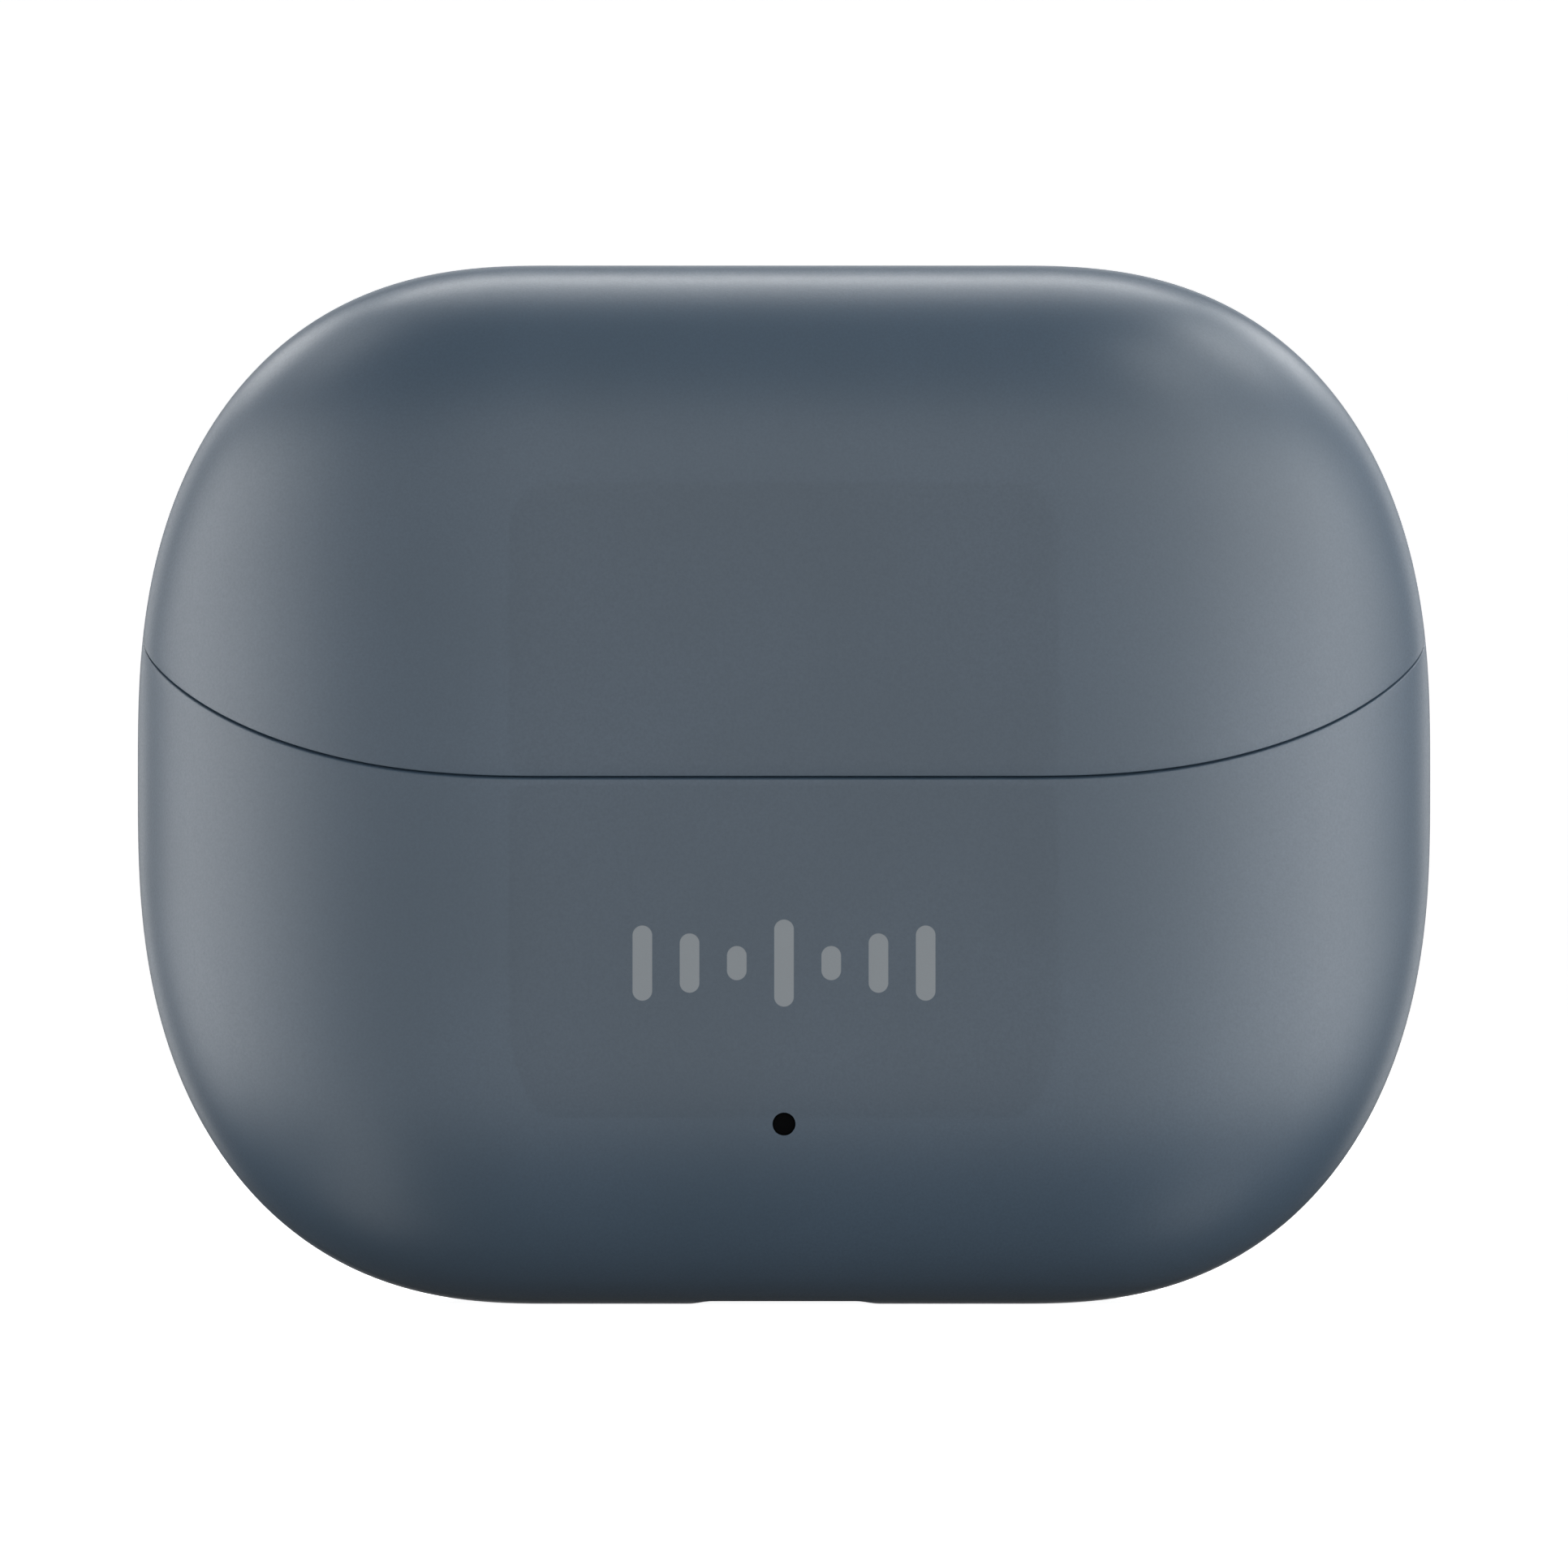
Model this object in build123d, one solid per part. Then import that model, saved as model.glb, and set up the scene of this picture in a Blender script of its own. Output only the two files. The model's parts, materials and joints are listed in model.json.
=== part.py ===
from build123d import *
import os
from math import cos, radians, sin, sqrt, tan

# Wireless earbuds charging case: a pebble-shaped body split by a tilted seam into a base and a hinged lid.
# Millimetres, +Z up. The origin is at the middle of the footprint, on the surface that the case stands on.
# The front faces -Y and the hinge runs along X at the back.

# Outer body
WIDTH = 60.0            # across, tip to tip
DEPTH = 25.0            # front to back
HEIGHT = 48.0           # bottom land to top land
FLAT_HALF = 10.6        # half length of the straight stretch across the top, bottom and front
WAIST_Z = 24.3          # height of the two side tips
LAND_HALF = 5.0         # half depth of the flat lands under and on top of the case
BOTTOM_CORNER_Z = 13.0  # height at which the lower corner runs into the straight front
TOP_CORNER = 12.0       # height of the upper corner
REACH = (0.0, 0.31, 0.75, 1.0, 1.0, 1.0)  # quintic corner: how far out each control point lies
FALL = (1.0, 1.0, 1.0, 0.59, 0.31, 0.0)   # and how much of the rise each one keeps
NARROW = (1.0, 1.0, 1.0, 0.3, 0.15, 0.0)  # and of the depth, towards a side tip
WALL = 1.6              # moulded shell wall
FIT = 0.1               # gap between a shell and the moulding inside it

# Seam between base and lid
SEAM_SIDE_Z = 31.5      # height of the seam at the sides
SEAM_TILT = 29.9        # degrees, rising towards the hinge
SEAM_GAP = 0.2          # between the two shells
EDGE_BREAK = 0.15       # chamfer on the outer seam edges
DECK_DROP = 0.5         # inner mouldings sit this far inside the shell edges
DECK_WALL = 1.2         # thickness of the decks
MOULD_WALL = 0.8        # thickness of bowls, wells and skirts
SKIRT_DEPTH = 3.2       # skirts that hold the mouldings in the shells
RIM_ROUND = 0.4         # rounding on the bowl rims

# Earbud seats
BOWL_RADIUS = 8.6       # round seat for the earbud head
BOWL_LIFT = 2.0         # its centre above the seam plane
BOWL_TO_SIDE = 13.3     # bowl centre to the inner side of the shell wall, across
WELL_HALF_X = 3.75      # stem well
WELL_HALF_Y = 4.5
WELL_ROUND = 3.0
WELL_FLOOR_Z = 7.2

# Hinge
HINGE_SETBACK = 0.4     # axis in front of the rearmost plane of the body
KNUCKLE_RADIUS = 1.2
PIN_RADIUS = 0.5
PIN_FIT = 0.03          # running clearance of the lid knuckles on the pin
BASE_KNUCKLE_HALF = 6.0
HINGE_HALF = 13.0
KNUCKLE_SIDE_GAP = 0.2  # between neighbouring knuckles
KNUCKLE_GAP = 0.2       # around the knuckles in the shells
EDGE_SWEEP = 0.75       # radius cut away along the axis so that the back edges pass each other
SWEEP_HALF = 17.6
LEAF_THICK = 0.7
LEAF_OFF_SEAM = 0.4     # leaf faces stand this far from the seam plane
BASE_LEAF_Y = 9.4       # front face of the base leaf's plate
BASE_LEAF_DROP = 7.6    # its length below the seam
LID_LEAF_IN = 2.8       # lid leaf's plate in front of the hinge axis, along the seam
LID_LEAF_RISE = 5.6
RIB_DEPTH = 1.9         # screw ribs on the mouldings
SPRING_HOLLOW = 0.95    # hollow in the base knuckle
SPRING_HALF = 3.2
SPRING_RADIUS = 0.72
SPRING_WIRE = 0.12      # wire radius
SPRING_TURNS = 8

# Screws
SCREW_RADIUS = 0.5
SCREW_HEAD = 0.95
SCREW_HEAD_THICK = 0.45
SCREW_HOLE_GAP = 0.1
SCREW_GRIP = 1.6        # thread in the rib

# Charging port, standing on end in the floor
PORT_WIDTH = 8.94       # receptacle shell, outside
PORT_THICK = 3.26
PORT_LENGTH = 7.35
PORT_RECESS = 0.6       # its mouth above the bottom of the case
PORT_SHEET = 0.3
PORT_GAP = 0.08         # around it in the floor
TONGUE_WIDTH = 6.69
TONGUE_THICK = 0.7
TONGUE_LENGTH = 4.45
TONGUE_RECESS = 0.6
CONTACT_PITCH = 0.5
CONTACT_COUNT = 12
CONTACT_THICK = 0.05
GROOVE_DEPTH = 0.15     # finger-wide dip across the bottom at the port
GROOVE_ROUND = 1.25
PASS = 1.0              # how far cuts run past the wall

# Boards
BOARD_THICK = 0.8
BOARD_SIDE_GAP = 0.35   # to the stem wells
BOARD_ROUND = 1.0
CONTACT_BOARD_Z = 4.2
CONTACT_BOARD_HALF_Y = 4.0
CONTACT_BOARD_OUT = 3.9 # beyond the well's middle

# Spring contacts in the wells
POGO_PITCH = 2.5
POGO_BARREL = 0.75      # outer radius
POGO_BORE = 0.6
POGO_PLUNGER = 0.42
POGO_FLANGE = 0.54
POGO_STAND = 0.8        # plunger above the well floor
POGO_FIT = 0.06
POGO_SPRING_WIRE = 0.06
POGO_SPRING_TURNS = 4
POGO_FLANGE_THICK = 0.4
POGO_FOOT = 0.2         # closed bottom of a sleeve
POGO_LIP = 0.3          # inward lip at its top
POGO_TIP_ROUND = 0.34

# Parts on the main board: middle height, then size across, high or thick
CHIPS = ((-1, 15.2, 4.0, 0.85), (1, 18.6, 3.0, 0.75))
CHIP_BEVEL = 0.1
PASSIVE = (0.5, 1.0, 0.5)
PASSIVE_PITCH = 0.9
PASSIVE_ROWS_Z = (11.6, 18.8)
INDUCTOR_Z = 13.0
INDUCTOR_SIZE = 4.0
INDUCTOR_HIGH = 1.9
HALL_SENSOR = (2.9, 1.6, 1.0)
LED = (1.0, 0.6, 0.4)
LED_LENS = 0.2
LED_LENS_RADIUS = 0.25
FLEX_SOCKET = (2.6, 1.6, 0.9)
FLEX_THICK = 0.15
FLEX_WIDE = 2.2
FLEX_TOP_Z = 7.8

# Battery
BATTERY_THICK = 8.0
BATTERY_FRONT_Y = 0.9
BATTERY_BOTTOM_Z = 8.6
BATTERY_ROUND = 1.6
BATTERY_GAP = 0.4       # to the mouldings around it
PROTECTION_THICK = 0.6
PROTECTION_WIDE = 3.0
LEAD_RADIUS = 0.35
LEAD_BEND = 1.3
LEAD_PITCH = 1.4
LEAD_END_Z = 18.0       # where the leads end in their socket
LEAD_GRIP = 1.0

# Status light
LIGHT_Z = 8.4
LIGHT_RADIUS = 0.525    # hole in the shell
LIGHT_FIT = 0.05
LIGHT_RECESS = 0.3
LIGHT_FLANGE = 1.2

# Pairing button, under the case
BUTTON_X = 11.93
BUTTON_RADIUS = 2.5     # hole in the floor
BUTTON_FIT = 0.1
BUTTON_RECESS = 0.1
BUTTON_FLANGE = 0.6     # rim that keeps it in
BUTTON_TRAVEL = 0.4
SWITCH_HALF_X = 1.0
SWITCH_HALF_Y = 1.5
SWITCH_HIGH = 0.9
SWITCH_PLUNGER = 0.5
SWITCH_ROOF = 0.1

# Magnets
CLOSURE_MAGNET_RADIUS = 1.5
CLOSURE_MAGNET_THICK = 2.0
CLOSURE_MAGNET_X = 3.2
EARBUD_MAGNET = (5.0, 1.5, 5.0)
SENSOR_MAGNET = (2.4, 2.0, 1.0)

FAR = WIDTH + DEPTH + HEIGHT
TILT = radians(SEAM_TILT)
SEAM = Plane(origin=(0, 0, SEAM_SIDE_Z), x_dir=(1, 0, 0), z_dir=(0, -sin(TILT), cos(TILT)))
DECK = SEAM_GAP / 2 + DECK_DROP
INSIDE = WALL + FIT
WELL_X = WIDTH / 2 - INSIDE - BOWL_TO_SIDE
BOWL_OUTER = BOWL_RADIUS + MOULD_WALL
HINGE_Y = DEPTH / 2 - HINGE_SETBACK
HINGE_Z = SEAM_SIDE_Z + HINGE_Y * tan(TILT)
HINGE_ALONG = HINGE_Y / cos(TILT)
BOARD_BACK_Y = -PORT_THICK / 2
BOARD_FRONT_Y = BOARD_BACK_Y - BOARD_THICK
CONTACT_INNER_X = BUTTON_X - SWITCH_HALF_X - BUTTON_FIT
WELL_SIDE_X = WELL_X - WELL_HALF_X - MOULD_WALL
BOARD_HALF = min(WELL_SIDE_X, CONTACT_INNER_X) - BOARD_SIDE_GAP
BATTERY_HALF = WELL_SIDE_X - BATTERY_GAP
BOWL_Y = -BOWL_LIFT * sin(TILT)
BOWL_Z = SEAM_SIDE_Z + BOWL_LIFT * cos(TILT)
BOWL_RISE = sqrt(BOWL_OUTER**2 - (WELL_X - BATTERY_HALF) ** 2 - (BATTERY_FRONT_Y - BOWL_Y) ** 2)
BATTERY_TOP_Z = BOWL_Z - BOWL_RISE - BATTERY_GAP
BOARD_TOP_Z = BATTERY_TOP_Z - BATTERY_GAP
BATTERY_BACK_Y = BATTERY_FRONT_Y + BATTERY_THICK
CONTACT_TOP_Z = CONTACT_BOARD_Z + BOARD_THICK
SWITCH_BOTTOM_Z = CONTACT_BOARD_Z - SWITCH_HIGH
BOARD_BOTTOM_Z = SWITCH_BOTTOM_Z + FIT
MAGNET_DEPTH = DECK + DECK_WALL + CLOSURE_MAGNET_THICK
CLOSURE_MAGNET_ALONG = (CLOSURE_MAGNET_RADIUS + MOULD_WALL / 2 + FIT
                        - (DEPTH / 2 - INSIDE - MAGNET_DEPTH * sin(TILT)) / cos(TILT))
SIDES = {"left": -1, "right": 1}
ENDS = {"front": -1, "rear": 1}


def block(x0, x1, y0, y1, z0, z1):
    """A box from its lowest to its highest corner."""
    size = Box(x1 - x0, y1 - y0, z1 - z0)
    return Pos((x0 + x1) / 2, (y0 + y1) / 2, (z0 + z1) / 2) * size


def seam_block(x0, x1, along0, along1, above0, above1):
    """A box laid on the seam plane: across, along the plane towards the hinge, and square to it."""
    return SEAM * block(x0, x1, along0, along1, above0, above1)


def rod_x(radius, x0, x1):
    """A rod on the hinge axis."""
    return Plane(origin=(x0, HINGE_Y, HINGE_Z), z_dir=(1, 0, 0)) * post(radius, x1 - x0)


def rod_y(radius, x, z, y0, y1):
    return Plane(origin=(x, y0, z), z_dir=(0, 1, 0)) * post(radius, y1 - y0)


def rod_z(radius, x, y, z0, z1):
    return Pos(x, y, z0) * post(radius, z1 - z0)


def post(radius, height):
    return Cylinder(radius, height, align=(Align.CENTER, Align.CENTER, Align.MIN))


def corner(y_out, z_out, z_land):
    """Side view of one body corner, from the straight front to the flat land: a quintic curve."""
    return [(LAND_HALF + (y_out - LAND_HALF) * r, z_land + (z_out - z_land) * (1 - f))
            for r, f in zip(REACH, FALL)]


def pebble(inset):
    """The outer body, or the same body made smaller all round by inset.

    Its side view shrinks towards the waist line as it goes out to each side, in height by the same
    quintic that rounds the corners in front view and in depth by a keener one, so every patch is an
    exact Bezier surface.
    """
    half_depth = DEPTH / 2 - inset
    tip = WIDTH / 2 - inset
    top = HEIGHT - inset
    shoulder = HEIGHT - TOP_CORNER
    upper = corner(half_depth, shoulder, top)
    lower = corner(half_depth, BOTTOM_CORNER_Z, inset)
    right = [
        [(0, top), (LAND_HALF, top)],
        upper,
        [(half_depth, shoulder), (half_depth, BOTTOM_CORNER_Z)],
        lower,
        [(LAND_HALF, inset), (0, inset)],
    ]
    strips = right + [[(-y, z) for y, z in strip] for strip in right]
    faces = []
    for strip in strips:
        rows = [[(x, y, z) for y, z in strip] for x in (-FLAT_HALF, FLAT_HALF)]
        faces.append(Face.make_bezier_surface(rows))
        faces += [end_patch(strip, tip, side) for side in (-1, 1)]
    return Solid(Shell(faces))


def end_patch(strip, tip, side):
    """One strip of the side view carried out to a side tip."""
    return Face.make_bezier_surface([
        [(side * (FLAT_HALF + (tip - FLAT_HALF) * r), y * n, WAIST_Z + (z - WAIST_Z) * f) for y, z in strip]
        for r, f, n in zip(REACH, FALL, NARROW)
    ])


def below(above):
    """Everything under a plane parallel to the seam."""
    return seam_block(-FAR, FAR, -FAR, FAR, -FAR, above)


def over(above):
    return seam_block(-FAR, FAR, -FAR, FAR, above, FAR)


def stadium(width, thick, length):
    """A bar whose two narrow sides are fully round, from z = 0 up."""
    return extrude(SlotOverall(width, thick), length)


def screw(length):
    """Small cross-recess screw: its head stands on z = 0 and its shank goes down."""
    head = Pos(0, 0, SCREW_HEAD_THICK / 2) * Cylinder(SCREW_HEAD, SCREW_HEAD_THICK)
    head = chamfer(head.edges().group_by(Axis.Z)[-1], SCREW_HEAD_THICK / 3)
    shank = Pos(0, 0, -length) * post(SCREW_RADIUS, length)
    slot = Pos(0, 0, SCREW_HEAD_THICK) * Box(SCREW_HEAD * 1.1, SCREW_HEAD / 4, SCREW_HEAD_THICK)
    return head + shank - slot - Rot(0, 0, 90) * slot


def screw_holes(places):
    """Clearance holes for screws at places in a leaf or board."""
    return [place * Cylinder(SCREW_RADIUS + SCREW_HOLE_GAP, 4 * BOARD_THICK) for place in places]


def coil(radius, wire, turns, height):
    """A round-wire helix standing on z = 0 with its wire's middle at both ends of height."""
    path = Edge.make_helix(height / turns, height, radius)
    return sweep(Plane(origin=path @ 0, z_dir=path % 0) * Circle(wire), path=path, is_frenet=True)


# Hinge

def knuckle_room():
    """Space that the knuckles need in both shells and both mouldings."""
    half = HINGE_HALF + KNUCKLE_SIDE_GAP
    return rod_x(KNUCKLE_RADIUS + KNUCKLE_GAP, -half, half)


def back_edge_sweep():
    return rod_x(EDGE_SWEEP, -SWEEP_HALF, SWEEP_HALF)


def base_web_room():
    """Slot under the seam for the base leaf's neck, from the knuckle into the base."""
    half = BASE_KNUCKLE_HALF + KNUCKLE_GAP
    low = -LEAF_OFF_SEAM - LEAF_THICK - KNUCKLE_GAP
    return seam_block(-half, half, BASE_LEAF_Y / cos(TILT), HINGE_ALONG, low, 0)


def lid_web_room():
    """The same over the seam for the lid leaf's two necks."""
    half = HINGE_HALF + KNUCKLE_GAP
    high = LEAF_OFF_SEAM + LEAF_THICK + KNUCKLE_GAP
    return seam_block(-half, half, HINGE_ALONG - LID_LEAF_IN - LEAF_THICK, HINGE_ALONG, 0, high)


def base_leaf_screw_places():
    z = SEAM_SIDE_Z + BASE_LEAF_Y * tan(TILT) - BASE_LEAF_DROP / 2 - LEAF_THICK * 2
    places = [(x, BASE_LEAF_Y + LEAF_THICK, z) for x in (-BASE_KNUCKLE_HALF / 2, BASE_KNUCKLE_HALF / 2)]
    return [Plane(origin=place, z_dir=(0, 1, 0)) for place in places]


def lid_leaf_screw_places():
    along = HINGE_ALONG - LID_LEAF_IN
    above = LID_LEAF_RISE / 2 + LEAF_THICK
    spots = [SEAM.from_local_coords(Vector(x, along, above)) for x in (-HINGE_HALF / 2, HINGE_HALF / 2)]
    return [Plane(origin=spot, z_dir=SEAM.y_dir) for spot in spots]


def hinge_bracket_base():
    """Middle knuckle, its neck under the seam, and a plate inside the back of the base."""
    knuckle = rod_x(KNUCKLE_RADIUS, -BASE_KNUCKLE_HALF, BASE_KNUCKLE_HALF)
    low = -LEAF_OFF_SEAM - LEAF_THICK
    neck = seam_block(-BASE_KNUCKLE_HALF, BASE_KNUCKLE_HALF, (BASE_LEAF_Y + LEAF_THICK / 2) / cos(TILT),
                      HINGE_ALONG, low, -LEAF_OFF_SEAM)
    top = SEAM_SIDE_Z + BASE_LEAF_Y * tan(TILT)
    plate = block(-BASE_KNUCKLE_HALF, BASE_KNUCKLE_HALF, BASE_LEAF_Y, BASE_LEAF_Y + LEAF_THICK,
                  top - BASE_LEAF_DROP, top) & below(-LEAF_OFF_SEAM)
    holes = screw_holes(base_leaf_screw_places())
    bore = rod_x(PIN_RADIUS, -HINGE_HALF, HINGE_HALF)
    hollow = rod_x(SPRING_HOLLOW, -SPRING_HALF, SPRING_HALF)
    return knuckle + neck + plate - bore - hollow - holes


def hinge_leaf_lid():
    """Two outer knuckles, their necks over the seam, and one plate inside the back of the lid."""
    inner = BASE_KNUCKLE_HALF + KNUCKLE_SIDE_GAP
    high = LEAF_OFF_SEAM + LEAF_THICK
    front = HINGE_ALONG - LID_LEAF_IN
    plate = seam_block(-HINGE_HALF, HINGE_HALF, front - LEAF_THICK, front, LEAF_OFF_SEAM, LID_LEAF_RISE)
    leaf = fillet(plate.edges().filter_by(Axis(SEAM.origin, SEAM.y_dir)).group_by(Axis.Z)[-1], LEAF_THICK)
    for x0, x1 in ((-HINGE_HALF, -inner), (inner, HINGE_HALF)):
        leaf += rod_x(KNUCKLE_RADIUS, x0, x1)
        leaf += seam_block(x0, x1, front - LEAF_THICK, HINGE_ALONG, LEAF_OFF_SEAM, high)
    holes = screw_holes(lid_leaf_screw_places())
    return leaf - rod_x(PIN_RADIUS + PIN_FIT, -FAR, FAR) - holes


def hinge_pin():
    pin = rod_x(PIN_RADIUS, -HINGE_HALF, HINGE_HALF)
    return chamfer(pin.edges().filter_by(GeomType.CIRCLE), PIN_RADIUS / 4)


def hinge_spring():
    """Torsion coil around the pin, inside the hollow base knuckle."""
    length = 2 * (SPRING_HALF - SPRING_WIRE) - 2 * FIT
    start = Plane(origin=(-length / 2, HINGE_Y, HINGE_Z), z_dir=(1, 0, 0))
    return start * coil(SPRING_RADIUS, SPRING_WIRE, SPRING_TURNS, length)


def hinge_screws(places):
    return [place * screw(SCREW_GRIP + LEAF_THICK) for place in places]


# Shells

def ease_seam_edge(shell, side):
    """Chamfer the outer edge of a shell's mouth; side is -1 for the base and 1 for the lid."""
    mouth = shell.faces().filter_by(SEAM).sort_by(Axis(SEAM.origin, SEAM.z_dir * -side))[-1]
    core = pebble(EDGE_BREAK / 3)
    return chamfer([edge for edge in mouth.edges() if not core.is_inside(edge @ 0.5)], EDGE_BREAK)


def port_hole(gap, z0, z1):
    hole = stadium(PORT_WIDTH + 2 * gap, PORT_THICK + 2 * gap, z1 - z0)
    return Pos(0, 0, z0) * hole


def port_groove():
    """Shallow dip across the bottom land, with eased ends."""
    half = PORT_WIDTH / 2 + PORT_GAP
    left = Bezier((-half, 0), (-half + GROOVE_ROUND / 3, 0), (-half + GROOVE_ROUND / 3, GROOVE_DEPTH),
                  (-half + GROOVE_ROUND, GROOVE_DEPTH))
    right = Bezier((half - GROOVE_ROUND, GROOVE_DEPTH), (half - GROOVE_ROUND / 3, GROOVE_DEPTH),
                   (half - GROOVE_ROUND / 3, 0), (half, 0))
    roof = Line(left @ 1, right @ 0)
    skirt = Polyline(right @ 1, (half, -PASS), (-half, -PASS), left @ 0)
    outline = make_face([left, roof, right, skirt])
    return extrude(Plane.XZ * outline, DEPTH / 2, both=True)


def base_shell():
    shell = (pebble(0) - pebble(WALL)) & below(-SEAM_GAP / 2)
    shell -= knuckle_room()
    shell -= back_edge_sweep()
    shell -= base_web_room()
    shell -= port_hole(PORT_GAP, -PASS, WALL + PASS)
    shell -= port_groove()
    shell -= rod_y(LIGHT_RADIUS, 0, LIGHT_Z, -DEPTH, BOARD_FRONT_Y)
    shell -= rod_z(BUTTON_RADIUS, BUTTON_X, 0, -PASS, CONTACT_BOARD_Z)
    return ease_seam_edge(shell, -1)


def lid_shell():
    shell = (pebble(0) - pebble(WALL)) & over(SEAM_GAP / 2)
    shell -= knuckle_room()
    shell -= back_edge_sweep()
    shell -= lid_web_room()
    return ease_seam_edge(shell, 1)


# Earbud mouldings

def moulding(side):
    """Deck and skirt that fill the mouth of a shell; side is -1 in the base and 1 in the lid."""
    envelope = pebble(INSIDE)
    deck = slab(side, DECK, DECK + DECK_WALL)
    skirt = slab(side, DECK + DECK_WALL, DECK + DECK_WALL + SKIRT_DEPTH)
    return (envelope & deck) + ((envelope - pebble(INSIDE + MOULD_WALL)) & skirt)


def slab(side, near, far):
    low, high = sorted((side * near, side * far))
    return seam_block(-FAR, FAR, -FAR, FAR, low, high)


def bowl(radius, x):
    return Pos(x, BOWL_Y, BOWL_Z) * Sphere(radius)


def well(grow, x, z0, z1):
    """Upright stem well with rounded corners, grown all round by its wall for the outside."""
    outline = RectangleRounded(2 * (WELL_HALF_X + grow), 2 * (WELL_HALF_Y + grow), WELL_ROUND + grow)
    return Pos(x, 0, z0) * extrude(outline, z1 - z0)


def closure_magnet_place(x, side):
    """Plane at the back of a closure magnet's pocket, its normal away from the seam."""
    spot = SEAM.from_local_coords(Vector(x, CLOSURE_MAGNET_ALONG, side * (DECK + DECK_WALL)))
    return Plane(origin=spot, x_dir=(1, 0, 0), z_dir=SEAM.z_dir * side)


def closure_magnets(side):
    return [closure_magnet_place(x, side) * post(CLOSURE_MAGNET_RADIUS, CLOSURE_MAGNET_THICK)
            for x in (-CLOSURE_MAGNET_X, CLOSURE_MAGNET_X)]


def magnet_cups(side):
    """Round walls that hold the closure magnets behind the deck."""
    cup = post(CLOSURE_MAGNET_RADIUS + MOULD_WALL / 2, CLOSURE_MAGNET_THICK)
    cup -= post(CLOSURE_MAGNET_RADIUS, CLOSURE_MAGNET_THICK)
    return [closure_magnet_place(x, side) * cup for x in (-CLOSURE_MAGNET_X, CLOSURE_MAGNET_X)]


def screw_pilots(places, held):
    """Holes for the screws' threads behind a sheet of the held thickness."""
    pilot = post(SCREW_RADIUS, held + SCREW_GRIP)
    return [Plane(place.origin, z_dir=-place.z_dir) * pilot for place in places]


def ease_bowl_rims(body, side):
    """Round the edges where the bowls meet the deck."""
    deck = body.faces().filter_by(SEAM).sort_by(Axis(SEAM.origin, SEAM.z_dir * -side))[-1]
    rims = deck.edges().filter_by(GeomType.CIRCLE).filter_by(lambda edge: edge.radius > BOWL_RADIUS / 2)
    return fillet(rims, RIM_ROUND)


def earbud_tray():
    """Base moulding: deck, skirt, two bowls with stem wells, and ribs for the board and the hinge."""
    body = moulding(-1)
    under = below(-DECK)
    for x in (-WELL_X, WELL_X):
        body += bowl(BOWL_OUTER, x) & under & pebble(INSIDE)
        body += well(MOULD_WALL, x, WELL_FLOOR_Z - MOULD_WALL, SEAM_SIDE_Z) & under
    body += board_rib() & below(-DECK - DECK_WALL / 2)
    body += block(-BASE_KNUCKLE_HALF, BASE_KNUCKLE_HALF, BASE_LEAF_Y - RIB_DEPTH, BASE_LEAF_Y,
                  hinge_rib_bottom(), HINGE_Z) & below(-DECK - DECK_WALL / 2)
    for x in (-WELL_X, WELL_X):
        body -= bowl(BOWL_RADIUS, x)
        body -= well(0, x, WELL_FLOOR_Z, HEIGHT)
        body -= [rod_z(POGO_BARREL + POGO_FIT, x, y, CONTACT_TOP_Z, WELL_FLOOR_Z + PASS) for y in pogo_rows()]
    body -= knuckle_room()
    half = BASE_KNUCKLE_HALF + KNUCKLE_GAP
    body -= block(-half, half, BASE_LEAF_Y, DEPTH, hinge_rib_bottom(), HEIGHT)
    body -= screw_pilots(base_leaf_screw_places(), LEAF_THICK)
    body -= screw_pilots(board_screw_places(), BOARD_THICK)
    return ease_bowl_rims(body, -1) - closure_magnets(-1) + magnet_cups(-1)


def hinge_rib_bottom():
    return SEAM_SIDE_Z + BASE_LEAF_Y * tan(TILT) - BASE_LEAF_DROP - FIT


def lid_liner():
    """Lid moulding: deck, skirt, two domes over the earbud heads, and a rib for the hinge leaf."""
    body = moulding(1)
    above = over(DECK)
    for x in (-WELL_X, WELL_X):
        body += bowl(BOWL_OUTER, x) & above & pebble(INSIDE)
    plate_front = HINGE_ALONG - LID_LEAF_IN - LEAF_THICK
    body += seam_block(-HINGE_HALF, HINGE_HALF, plate_front - RIB_DEPTH, plate_front, DECK, LID_LEAF_RISE)
    for x in (-WELL_X, WELL_X):
        body -= bowl(BOWL_RADIUS, x)
    body -= knuckle_room()
    half = HINGE_HALF + KNUCKLE_GAP
    body -= seam_block(-half, half, plate_front, HINGE_ALONG, 0, LID_LEAF_RISE + LEAF_THICK)
    body -= screw_pilots(lid_leaf_screw_places(), LEAF_THICK)
    return ease_bowl_rims(body, 1) - closure_magnets(1) + magnet_cups(1)


def lid_sensor_magnet():
    across, along, high = SENSOR_MAGNET
    low = DECK + DECK_WALL
    return seam_block(-across / 2, across / 2, CLOSURE_MAGNET_ALONG / 2 - along, CLOSURE_MAGNET_ALONG / 2,
                      low, low + high)


def earbud_magnet(x):
    across, thick, high = EARBUD_MAGNET
    back = WELL_HALF_Y + MOULD_WALL
    middle = (WELL_FLOOR_Z + BATTERY_TOP_Z) / 2
    return block(x - across / 2, x + across / 2, back, back + thick, middle - high / 2, middle + high / 2)


# Main board

def board_screw_places():
    z = BOARD_TOP_Z - 2 * SCREW_HEAD
    places = [(x, BOARD_FRONT_Y, z) for x in (-BOARD_HALF / 3, BOARD_HALF / 3)]
    return [Plane(origin=place, z_dir=(0, -1, 0)) for place in places]


def board_rib_half():
    return BOARD_HALF / 3 + 2 * SCREW_RADIUS


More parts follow.
